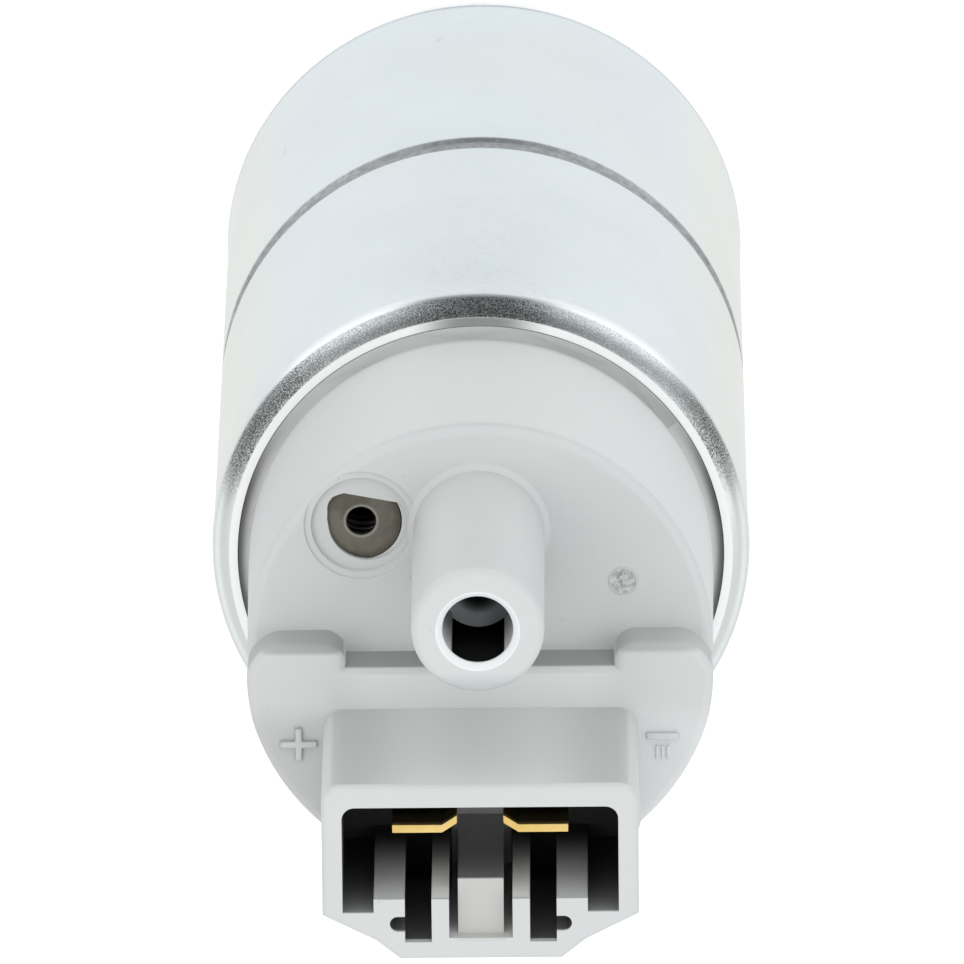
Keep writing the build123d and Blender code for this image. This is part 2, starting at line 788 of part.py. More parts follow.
# End cap: the moulded tower over the can, with the outlet, the connector and the relief valve's boss
tower_round_start = cap_face - cap_edge_round
with BuildPart() as end_cap:
    with BuildSketch(Plane.XZ):
        with BuildLine():
            outer_wall = Polyline(
                (0, spigot_bottom),
                (fit_radius, spigot_bottom),
                (fit_radius, flange_top),
                (cap_ring_radius, flange_top),
                (cap_ring_radius, can_length + cap_ring_height),
                (cap_base_radius, can_length + cap_ring_height),
                (cap_top_radius, tower_round_start),
            )
            edge_round = CenterArc((cap_top_radius - cap_edge_round, tower_round_start), cap_edge_round, 0, 90)
            Polyline(edge_round @ 1, (0, cap_face), outer_wall @ 0)
        make_face()
    revolve(axis=Axis.Z)

    # The raised part behind the step, with a rounded shoulder at each side
    low_reach = 2 * cap_base_radius
    with BuildSketch(Plane.XY.offset(tower_round_start)):
        Circle(cap_top_radius)
        with BuildLine():
            Polyline(
                (-low_reach, shoulder_y),
                (-shoulder_x, shoulder_y),
                (-shoulder_x, step_y),
                (shoulder_x, step_y),
                (shoulder_x, shoulder_y),
                (low_reach, shoulder_y),
                (low_reach, low_reach),
                (-low_reach, low_reach),
                close=True,
            )
        make_face(mode=Mode.SUBTRACT)
        on_shoulder = lambda corner: abs(corner.Y - shoulder_y) < level_tolerance
        fillet(vertices().filter_by(on_shoulder).sort_by(Axis.X)[1:3], shoulder_inner_round)
        shoulder_ends = vertices().filter_by(on_shoulder).sort_by(Axis.X)
        fillet([shoulder_ends[0], shoulder_ends[-1]], shoulder_outer_round)
    extrude(amount=step_height + cap_edge_round)
    fillet(end_cap.faces().sort_by(Axis.Z)[-1].edges(), cap_edge_round)

    # Relief valve's recess: a shallow round step with a deeper one inside it
    for radius, depth in ((relief_step_radius, relief_step_depth), (relief_recess_radius, relief_recess_depth)):
        with BuildSketch(Plane.XY.offset(cap_face)):
            with Locations((relief_x, relief_y)):
                Circle(radius)
        extrude(amount=-depth, mode=Mode.SUBTRACT)

    # Outlet: a plain tube with a rounded mouth
    with BuildSketch(Plane.XZ.offset(-outlet_y)):
        with BuildLine():
            tube_wall = Polyline(
                (0, cap_face - cap_roof / 2),
                (outlet_radius + outlet_foot_round, cap_face - cap_roof / 2),
                (outlet_radius + outlet_foot_round, cap_face),
                (outlet_radius, cap_face + outlet_foot_round),
                (outlet_radius, outlet_top - outlet_tip_round),
            )
            tip_round = CenterArc(
                (outlet_radius - outlet_tip_round, outlet_top - outlet_tip_round), outlet_tip_round, 0, 90
            )
            Polyline(tip_round @ 1, (0, outlet_top), tube_wall @ 0)
        make_face()
    revolve(axis=Axis((0, outlet_y, 0), (0, 0, 1)))

    # Connector socket's outer walls
    with BuildSketch(Plane.XY.offset(block_top - cap_edge_round)):
        with BuildLine():
            Polyline(
                (-connector_half_width, connector_front_y),
                (-connector_half_width, connector_side_y),
                (-connector_step_x, connector_step_y),
                (-connector_rear_x, connector_rear_y),
                (connector_rear_x, connector_rear_y),
                (connector_step_x, connector_step_y),
                (connector_half_width, connector_side_y),
                (connector_half_width, connector_front_y),
                close=True,
            )
        make_face()
        fillet(vertices().group_by(Axis.Y)[-1], connector_corner)
    extrude(amount=connector_height + cap_edge_round)
    mouth_edges = end_cap.edges().filter_by_position(Axis.Z, mouth - level_tolerance, mouth + level_tolerance)
    fillet(mouth_edges, connector_rim_round)

    # Hollow inside: the main cavity and the pocket over the terminals' feet
    with BuildSketch(Plane.XY.offset(spigot_bottom)):
        Circle(cap_cavity_radius)
    extrude(amount=cap_cavity_top - spigot_bottom, mode=Mode.SUBTRACT)
    with BuildSketch(Plane.XY.offset(cap_cavity_top)):
        with Locations((0, terminal_y)):
            Rectangle(
                2 * (terminal_foot_end + terminal_pocket_margin),
                2 * choke_core_radius + 4 * terminal_pocket_margin,
            )
    extrude(amount=terminal_pocket_top - cap_cavity_top, mode=Mode.SUBTRACT)

    # The outlet's tail and the relief valve's boss hang down into the cavity
    with BuildSketch(Plane.XY.offset(valve_seat_bottom)):
        with Locations((0, outlet_y)):
            Circle(outlet_radius)
    extrude(amount=outlet_tail)
    with BuildSketch(Plane.XY.offset(relief_seat_bottom)):
        with Locations((relief_x, relief_y)):
            Circle(relief_body_radius + glue_gap + relief_boss_wall)
        Circle(cap_base_radius - cap_wall / 2, mode=Mode.INTERSECT)
    extrude(amount=cap_cavity_top - relief_seat_bottom)

    # Bores of the outlet, from the mouth down
    with BuildSketch(Plane.XY.offset(outlet_top)):
        with Locations((0, outlet_y)):
            Circle(outlet_bore_radius)
    extrude(amount=-outlet_bore_depth, mode=Mode.SUBTRACT)
    tube_edges = end_cap.edges().filter_by(GeomType.CIRCLE).filter_by_position(
        Axis.Z, outlet_top - level_tolerance, outlet_top + level_tolerance
    )
    chamfer(tube_edges.sort_by(SortBy.RADIUS)[0], outlet_bore_chamfer)
    with BuildSketch(Plane.XY.offset(valve_seat_bottom)):
        with Locations((0, outlet_y)):
            Circle(valve_bore_radius)
    extrude(amount=guide_top - valve_seat_bottom, mode=Mode.SUBTRACT)
    with BuildSketch(Plane.XY.offset(outlet_top - outlet_slot_start)):
        slot_y = outlet_y - (outlet_bore_radius + outlet_slot_depth) / 2
        with Locations((0, slot_y)):
            Rectangle(outlet_slot_width, outlet_bore_radius + outlet_slot_depth)
    extrude(amount=guide_bottom - outlet_slot_overrun - outlet_top + outlet_slot_start, mode=Mode.SUBTRACT)

    # Relief valve: window in the recess's floor and the bore for the metal body
    with BuildSketch(Plane.XY.offset(cap_face)):
        with Locations((relief_x + relief_window_shift, relief_y)):
            Circle(relief_window_radius)
        with Locations((relief_x - relief_window_left - relief_window_radius, relief_y)):
            Rectangle(2 * relief_window_radius, 4 * relief_window_radius, mode=Mode.SUBTRACT)
        with Locations((relief_x, relief_y + relief_window_top + relief_window_radius)):
            Rectangle(
                4 * relief_window_radius,
                2 * relief_window_radius,
                rotation=-relief_window_slope,
                mode=Mode.SUBTRACT,
            )
    extrude(amount=-(relief_recess_depth + relief_ledge), mode=Mode.SUBTRACT)
    with BuildSketch(Plane.XY.offset(relief_seat_bottom)):
        with Locations((relief_x, relief_y)):
            Circle(relief_body_radius + glue_gap)
    extrude(amount=relief_body_top - relief_seat_bottom, mode=Mode.SUBTRACT)

    # Connector cavity: wide upper part, two side pockets, two slots and the lock window between ribs
    with BuildSketch(Plane.XY.offset(mouth)):
        with BuildLine():
            Polyline(
                (-cavity_half_width, cavity_front_y),
                (-cavity_half_width, pocket_rear_y),
                (-pocket_inner_x, pocket_rear_y),
                (-pocket_inner_x, pad_front_y),
                (pocket_inner_x, pad_front_y),
                (pocket_inner_x, pocket_rear_y),
                (cavity_half_width, pocket_rear_y),
                (cavity_half_width, cavity_front_y),
                close=True,
            )
        make_face()
        fillet(vertices().group_by(Axis.Y)[-1], cavity_corner)
        for sign in (-1, 1):
            slot_middle = sign * (slot_outer_x + rib_outer_x) / 2
            with Locations((slot_middle, key_slot_rear_y)):
                Rectangle(
                    slot_outer_x - rib_outer_x,
                    pad_front_y - key_slot_rear_y + tool_overrun,
                    align=(Align.CENTER, Align.MIN),
                )
        with Locations((0, window_rear_y)):
            Rectangle(
                2 * rib_inner_x, pad_front_y - window_rear_y + tool_overrun, align=(Align.CENTER, Align.MIN)
            )
    extrude(amount=-cavity_depth, mode=Mode.SUBTRACT)
    with BuildSketch(Plane.XY.offset(mouth)):
        for sign in (-1, 1):
            with Locations((sign * keyhole_end, keyhole_y)):
                Circle(keyhole_radius)
            with Locations((sign * (keyhole_end + slot_outer_x - keyhole_radius) / 2, keyhole_y)):
                Rectangle(keyhole_end - slot_outer_x + keyhole_radius, 2 * keyhole_radius)
    extrude(amount=-keyhole_depth, mode=Mode.SUBTRACT)

    # Lock ramp in the window
    with BuildSketch(Plane.YZ.offset(-ramp_half_width)):
        with BuildLine():
            Polyline(
                (window_rear_y - ramp_root, mouth - ramp_drop),
                (ramp_front_y, mouth - ramp_drop - ramp_slope_drop),
                (ramp_front_y, mouth - ramp_drop - ramp_slope_drop - ramp_height),
                (window_rear_y - ramp_root, mouth - ramp_drop - ramp_slope_drop - ramp_height),
                close=True,
            )
        make_face()
    extrude(amount=2 * ramp_half_width)

    # Slots that the two terminals stand in
    with BuildSketch(Plane.XY.offset(terminal_pocket_top)):
        for sign in (-1, 1):
            edge_x = terminal_inner_x - terminal_wing
            slot_gap = terminal_thickness / 2 + glue_gap
            with BuildLine():
                Polyline(
                    (sign * (terminal_inner_x + terminal_width + glue_gap), terminal_y - slot_gap),
                    (sign * terminal_inner_x, terminal_y - slot_gap),
                    (sign * (edge_x - glue_gap), terminal_y - slot_gap + terminal_wing_rise),
                    (sign * (edge_x - glue_gap), terminal_y + slot_gap + terminal_wing_rise),
                    (sign * terminal_inner_x, terminal_y + slot_gap),
                    (sign * (terminal_inner_x + terminal_width + glue_gap), terminal_y + slot_gap),
                    close=True,
                )
            make_face()
    extrude(amount=connector_floor - terminal_pocket_top, mode=Mode.SUBTRACT)

    # Groove for the seal ring
    seal_bottom = spigot_bottom + seal_groove_lift
    with BuildSketch(Plane.XY.offset(seal_bottom)):
        Circle(fit_radius + tool_overrun)
        Circle(fit_radius - seal_groove_depth, mode=Mode.SUBTRACT)
    extrude(amount=seal_groove_height, mode=Mode.SUBTRACT)
save(end_cap.part, "end_cap")


# Seal ring: rubber with broken edges, in the cap's groove against the can
with BuildPart() as cap_seal:
    with BuildSketch(Plane.XZ):
        seal_middle = fit_radius - seal_groove_depth / 2 + glue_gap / 2
        with Locations((seal_middle, seal_bottom + seal_groove_height / 2)):
            Rectangle(seal_groove_depth - glue_gap, seal_groove_height - 2 * glue_gap)
        chamfer(vertices(), seal_chamfer)
    revolve(axis=Axis.Z)
save(cap_seal.part, "cap_seal")


# Outlet check valve: seat ring, poppet with its stem, return spring and the dished guide disc; the fuel
# passes the guide through the slot in the tube's wall
with BuildPart() as valve_seat:
    with BuildSketch(Plane.XY.offset(valve_seat_bottom)):
        with Locations((0, outlet_y)):
            Circle(valve_bore_radius - glue_gap)
            Circle(valve_seat_hole, mode=Mode.SUBTRACT)
    extrude(amount=valve_seat_height)
save(valve_seat.part, "valve_seat")

poppet_shoulder = poppet_bottom + poppet_head_height
with BuildPart() as check_poppet:
    with BuildSketch(Plane.XZ.offset(-outlet_y)):
        with BuildLine():
            Polyline(
                (0, poppet_bottom),
                (poppet_radius, poppet_bottom),
                (poppet_radius, poppet_bottom + poppet_lip),
                (poppet_stem_radius + poppet_lip, poppet_shoulder),
                (poppet_stem_radius, poppet_shoulder),
                (poppet_stem_radius, guide_top - poppet_stem_drop),
                (0, guide_top - poppet_stem_drop),
                close=True,
            )
        make_face()
    revolve(axis=Axis((0, outlet_y, 0), (0, 0, 1)))
save(check_poppet.part, "check_poppet")

with BuildPart() as valve_guide:
    with BuildSketch(Plane.XY.offset(guide_bottom)):
        with Locations((0, outlet_y)):
            Circle(valve_bore_radius - glue_gap)
            Circle(poppet_stem_radius + slide_gap, mode=Mode.SUBTRACT)
    extrude(amount=valve_guide_height)
    chamfer(valve_guide.edges().group_by(Axis.Z)[-1].sort_by(SortBy.RADIUS)[0], valve_guide_dish)
save(valve_guide.part, "valve_guide")

check_spring = coil_spring(
    (0, outlet_y), poppet_shoulder, guide_bottom, check_spring_radius, check_spring_wire, check_spring_turns
)
save(check_spring, "check_spring")


# Relief valve: metal body with the blow-off hole, seat plug, ball and spring
relief_bore_radius = relief_body_radius - relief_body_wall
with BuildPart() as relief_body:
    with BuildSketch(Plane.XY.offset(relief_body_bottom)):
        with Locations((relief_x, relief_y)):
            Circle(relief_body_radius)
    extrude(amount=relief_body_length)
    with Locations(Plane(origin=(relief_x, relief_y, relief_body_bottom), z_dir=(0, 0, -1))):
        Hole(relief_bore_radius, depth=relief_body_length - relief_body_wall)
    with Locations((relief_x, relief_y, relief_body_top)):
        Hole(relief_hole_radius, depth=relief_body_wall)
save(relief_body.part, "relief_body")

with BuildPart() as relief_seat:
    with BuildSketch(Plane.XY.offset(relief_seat_bottom)):
        with Locations((relief_x, relief_y)):
            Circle(relief_body_radius)
            Circle(relief_orifice_radius, mode=Mode.SUBTRACT)
    extrude(amount=relief_seat_length)
save(relief_seat.part, "relief_seat")

ball_rest = sqrt(relief_ball_radius**2 - relief_orifice_radius**2)
ball_height = relief_body_bottom + ball_rest + face_gap
with BuildPart() as relief_ball:
    with Locations((relief_x, relief_y, ball_height)):
        Sphere(relief_ball_radius)
save(relief_ball.part, "relief_ball")

relief_spring = coil_spring(
    (relief_x, relief_y),
    ball_height + relief_spring_lift,
    relief_body_top - relief_body_wall,
    relief_spring_radius,
    relief_spring_wire,
    relief_spring_turns,
)
save(relief_spring, "relief_spring")
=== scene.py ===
from math import atan2, copysign, cos, degrees, hypot, pi, radians, sin, tan

import bpy
from mathutils import Matrix, Vector


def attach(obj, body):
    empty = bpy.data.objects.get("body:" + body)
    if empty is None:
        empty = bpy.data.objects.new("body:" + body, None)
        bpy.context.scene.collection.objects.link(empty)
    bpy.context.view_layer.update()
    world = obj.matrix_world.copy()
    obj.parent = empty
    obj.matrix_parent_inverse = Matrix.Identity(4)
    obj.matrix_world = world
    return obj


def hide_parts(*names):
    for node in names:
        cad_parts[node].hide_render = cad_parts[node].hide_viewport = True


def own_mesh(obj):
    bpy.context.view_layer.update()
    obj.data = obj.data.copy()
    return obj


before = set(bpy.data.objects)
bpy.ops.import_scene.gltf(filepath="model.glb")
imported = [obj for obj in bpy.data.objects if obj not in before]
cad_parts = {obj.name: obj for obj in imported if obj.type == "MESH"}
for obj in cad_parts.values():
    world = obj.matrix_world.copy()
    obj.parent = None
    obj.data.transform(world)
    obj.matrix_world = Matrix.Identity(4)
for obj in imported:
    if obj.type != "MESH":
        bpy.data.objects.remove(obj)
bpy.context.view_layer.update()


# Motor can: a deep-drawn steel tube, zinc plated and passivated to a pale bluish white.
# Both ends are rolled inwards over the parts inside, so each rim has a coarse-grained round
# and a narrow land painted bright, and one shallow ring groove runs round the wall.
MM = 0.001


class Field:
    """One value of a material: wraps a node's output, and sums written on it add Math nodes."""

    def __init__(self, tree, socket):
        self.tree = tree
        self.socket = socket

    def node(self, kind, settings=None, inputs=None, output=0):
        """Adds a node by its type, its settings, its socket values or links, and hands back one output."""
        made = self.tree.nodes.new("ShaderNode" + kind)
        for key, value in (settings or {}).items():
            setattr(made, key, value)
        for key, value in (inputs or {}).items():
            if isinstance(value, Field):
                self.tree.links.new(value.socket, made.inputs[key])
            else:
                made.inputs[key].default_value = value
        return Field(self.tree, made.outputs[output])

    def sum(self, operation, first, second):
        return self.node("Math", {"operation": operation}, {0: first, 1: second})

    def __add__(self, other):
        return self.sum("ADD", self, other)

    def __sub__(self, other):
        return self.sum("SUBTRACT", self, other)

    def __rsub__(self, other):
        return self.sum("SUBTRACT", other, self)

    def __mul__(self, other):
        return self.sum("MULTIPLY", self, other)

    def __pow__(self, other):
        return self.sum("POWER", self, other)

    def __abs__(self):
        return self.sum("ABSOLUTE", self, 0.0)

    def sine(self):
        return self.sum("SINE", self, 0.0)

    def most(self, other):
        """The larger of this value and another."""
        return self.sum("MAXIMUM", self, other)

    __radd__ = __add__
    __rmul__ = __mul__

    def between(self, low, high, to_low=0.0, to_high=1.0):
        """The value's place between two limits, held to them, as a smooth mask."""
        return self.node("MapRange", {"interpolation_type": "SMOOTHSTEP"},
                         {0: self, 1: low, 2: high, 3: to_low, 4: to_high})

    def under(self, limit, blur=0.0001):
        return self.between(limit - blur, limit + blur, 1.0, 0.0)

    def over(self, limit, blur=0.0001):
        return self.between(limit - blur, limit + blur)

    def within(self, low, high, blur=0.0001):
        return self.over(low, blur) * self.under(high, blur)

    def tint(self, first, second):
        """Mixes two colours by this mask."""
        pair = [shade if isinstance(shade, Field) else (*shade, 1.0) for shade in (first, second)]

        # A Mix node takes its colours at inputs 6 and 7 and gives the mixed one at output 2
        return self.node("Mix", {"data_type": "RGBA"}, {0: self, 6: pair[0], 7: pair[1]}, 2)

    def noise(self, scale, detail, roughness, stretch=(1, 1, 1)):
        """Noise over the object's own coordinates, the scale in features to the metre."""
        place = self.node("TexCoord", output="Object")
        if stretch != (1, 1, 1):
            place = self.node("Mapping", None, {"Vector": place, "Scale": stretch})
        inputs = {"Vector": place, "Scale": scale, "Detail": detail, "Roughness": roughness}
        return self.node("TexNoise", None, inputs)

    def point(self):
        """The three coordinates of the point, in metres."""
        place = self.node("TexCoord", output="Object")
        return [self.node("SeparateXYZ", None, {0: place}, axis) for axis in range(3)]

    def relief(self, depth, normal=None):
        """A bump of this height field, depth in metres."""
        inputs = {"Height": self, "Distance": depth, "Strength": 1.0}
        if normal is not None:
            inputs["Normal"] = normal
        return self.node("Bump", None, inputs)


def finish(name, constants, varying):
    """A material: fixed values go on the shader's own sockets, and varying makes the linked ones."""
    material = bpy.data.materials.new(name)
    material.use_nodes = True
    tree = material.node_tree
    shader = tree.nodes["Principled BSDF"]
    for key, value in constants.items():
        shader.inputs[key].default_value = (*value, 1.0) if isinstance(value, tuple) else value
    for key, field in varying(Field(tree, None)).items():
        tree.links.new(field.socket, shader.inputs[key])
    return material


def plating(f):
    cloud = f.noise(90, 4, 0.55)
    speck = f.noise(2600, 2, 0.6)
    drawn = f.noise(900, 3, 0.6, stretch=(1, 1, 0.06))
    smudge = f.noise(30, 5, 0.62)
    scuff = f.noise(420, 4, 0.7, stretch=(1, 1, 0.4)).between(0.66, 0.74)
    x, y, z = f.point()
    radius = (x * x + y * y) ** 0.5
    side = abs(x)

    # Straw-coloured bloom of the passivation at random, with a painted straw sheen that grows towards the
    # two sides
    bloom_and_side_sheen = smudge.between(0.50, 0.74) * 0.40 + side.between(0.0125, 0.0187) * 0.60
    colour = bloom_and_side_sheen.tint((0.80, 0.845, 0.862), (0.85, 0.825, 0.70))
    colour = (cloud.between(0.35, 0.7) * 0.28).tint(colour, (0.73, 0.77, 0.795))
    colour = (scuff * 0.35).tint(colour, (0.62, 0.63, 0.63))

    # The ring groove is painted a darker, mottled matt grey
    groove = z.between(0.0307, 0.0310) * z.between(0.0330, 0.0333, 1.0, 0.0)
    groove_darkening = groove * (0.7 + 0.3 * f.noise(1500, 3, 0.7).between(0.35, 0.6))
    colour = groove_darkening.tint(colour, (0.40, 0.405, 0.415))

    # The upper rim's round is painted duller than the wall as a dim reflection, but for two stretches of
    # paler painted reflection on the outlet's side
    rim_round = radius.over(0.01786, 0.00003)
    upper_end = z.between(0.0646, 0.0650)
    left_pale_reflection = x.between(-0.0135, -0.0105, 0.0, 0.40) * x.between(-0.0062, -0.0030, 1.0, 0.0)
    right_pale_reflection = x.between(0.0030, 0.0062, 0.0, 0.58) * x.between(0.0130, 0.0165, 1.0, 0.0)
    pale_reflection = (left_pale_reflection + right_pale_reflection) * y.over(0.0)
    colour = (rim_round * upper_end * (0.7 - pale_reflection)).tint(colour, (0.62, 0.64, 0.63))

    # Rolling has torn the plating of both rims to a coarse grain with dark specks; on the upper rim it is
    # kept to the outlet's side, where the dark specks are also a painted dark reflection
    grain_and_dark_reflection = y.between(0.0030, 0.0078) * upper_end
    foot = z.between(0.0015, 0.0021, 1.0, 0.0) * 0.6
    rolled = rim_round * grain_and_dark_reflection.most(foot)
    grain = f.noise(9000, 3, 0.75)
    dark_grain_and_reflection = rolled * grain.between(0.45, 0.53) * (1 - pale_reflection)
    colour = dark_grain_and_reflection.tint(colour, (0.155, 0.161, 0.161))

    # A painted highlight brightens the wall just below the round, left and right of the outlet
    crest_highlight = z.between(0.0630, 0.0641) * z.between(0.0646, 0.0650, 1.0, 0.0) * y.over(0.0040, 0.0020)
    crest_highlight = crest_highlight * side.between(0.0030, 0.0065) * side.between(0.0120, 0.0150, 1.0, 0.0)
    colour = crest_highlight.tint(colour, (0.97, 0.98, 0.975))

    # The land is painted bright and made less metallic as a painted reflection, but a painted dark
    # reflection darkens it in the middle of the outlet's side, and painted shade dulls the lip's edge at its
    # gap to the cap
    land_painted_bright = radius.within(0.01724, 0.01783, 0.00003) * z.over(0.0658)
    colour = land_painted_bright.tint(colour, (0.96, 0.965, 0.955))
    brow_dark_reflection = side.between(0.0012, 0.0052, 1.0, 0.0) * y.over(0.0)
    colour = (land_painted_bright * brow_dark_reflection * 0.70).tint(colour, (0.18, 0.19, 0.195))
    lip_gap_shade = radius.under(0.01719, 0.00002) * z.over(0.0645)
    colour = (lip_gap_shade * 0.5).tint(colour, (0.30, 0.31, 0.31))
    fine = (speck * 0.6 + drawn * 0.4).relief(0.000004)
    return {
        "Base Color": colour,
        "Roughness": 0.25 + 0.09 * cloud + 0.08 * speck.between(0.45, 0.7) + groove * 0.2,
        "Metallic": 1.0 - 0.80 * land_painted_bright * (1 - brow_dark_reflection),
        "Normal": (rolled * grain).relief(0.000030, fine),
    }


zinc = finish("zinc_plating", {"IOR": 1.5}, plating)


def softened(points):
    """Swaps each (radius, height, round) corner for the points of its arc, all in millimetres."""
    smooth = []
    for place, (x, y, rounding) in enumerate(points):
        here = Vector((x, y))
        if rounding == 0:
            smooth.append(here)
            continue
        back = (Vector(points[place - 1][:2]) - here).normalized()
        ahead = (Vector(points[(place + 1) % len(points)][:2]) - here).normalized()
        half = back.angle(ahead) / 2
        centre = here + (back + ahead).normalized() * (rounding / sin(half))
        first = here + back * (rounding / tan(half)) - centre
        sweep = (pi - 2 * half) * (1 if back.x * ahead.y < back.y * ahead.x else -1)
        count = max(3, round(abs(sweep) / radians(11)))
        for step in range(count + 1):
            smooth.append(centre + Matrix.Rotation(sweep * step / count, 2) @ first)
    return smooth


def turned(name, points, steps, centre=(0, 0)):
    """A ring made as on a lathe: one circle extruded from corner to corner of its section."""
    section = softened(points)
    bpy.ops.object.select_all(action="DESELECT")
    start = section[0]
    bpy.ops.mesh.primitive_circle_add(
        vertices=steps, radius=start.x * MM, location=(centre[0] * MM, centre[1] * MM, start.y * MM))
    piece = bpy.context.object
    piece.name = name
    bpy.ops.object.transform_apply(location=True)
    bpy.ops.object.mode_set(mode="EDIT")
    bpy.ops.mesh.select_mode(type="VERT")
    bpy.ops.mesh.select_all(action="SELECT")
    for old, new in zip(section, section[1:] + section[:1]):
        bpy.ops.mesh.extrude_region_move(TRANSFORM_OT_translate={"value": (0, 0, (new.y - old.y) * MM)})
        wider = new.x / old.x
        bpy.ops.transform.resize(
            value=(wider, wider, 1), center_override=(centre[0] * MM, centre[1] * MM, new.y * MM))
    bpy.ops.mesh.select_all(action="SELECT")
    bpy.ops.mesh.remove_doubles(threshold=0.000001)
    bpy.ops.mesh.normals_make_consistent(inside=False)
    bpy.ops.object.mode_set(mode="OBJECT")
    bpy.ops.object.shade_smooth_by_angle(angle=radians(32))
    return piece


can_radius, can_inner, can_length = 19.0, 17.7, 66.0
rim_radius, land_radius, lip_radius, lip_depth = 19.07, 17.85, 17.2, 1.3
rim_round, taper_round, groove_round = 1.87, 3.0, 0.6

# The can's section as (radius, height, round) corners: down the outside from the groove, round the
# rear rim, up the inside, over the front rim and back to the groove
rear_rim = [
    (can_radius, 4.1, taper_round), (rim_radius, 1.6, 0.0), (rim_radius, 0.46, rim_round),
    (land_radius, 0.0, 0.03), (lip_radius, 0.0, 0.06),
]
inside = [
    (lip_radius, lip_depth, 0.0), (can_inner, lip_depth, 0.0),
    (can_inner, can_length - lip_depth, 0.0), (lip_radius, can_length - lip_depth, 0.0),
]
front_rim = [
    (lip_radius, can_length, 0.06), (land_radius, can_length, 0.03),
    (rim_radius, 65.54, rim_round), (rim_radius, 64.2, 0.0), (can_radius, 61.9, taper_round),
]
ring_groove = [(can_radius, 33.2, groove_round), (18.75, 32.7, 0.25), (18.75, 31.3, 0.25)]
can_section = [(can_radius, 30.8, groove_round), *rear_rim, *inside, *front_rim, *ring_groove]
motor_can = turned("can_shell", can_section, steps=192)
motor_can.data.materials.append(zinc)
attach(motor_can, "housing")
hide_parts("motor_can")


# End cap: one moulding in pale grey glass-filled plastic. It has the tower, the outlet tube,
# the connector socket and the relief valve's recess, all with softly broken edges.
outlet_y = 8.52
cap_face, connector_base = 83.7, 87.2
plus_centre, minus_centre = (-12.7, -5.97), (12.7, -5.55)
mark_centre = (10.03, 4.68)


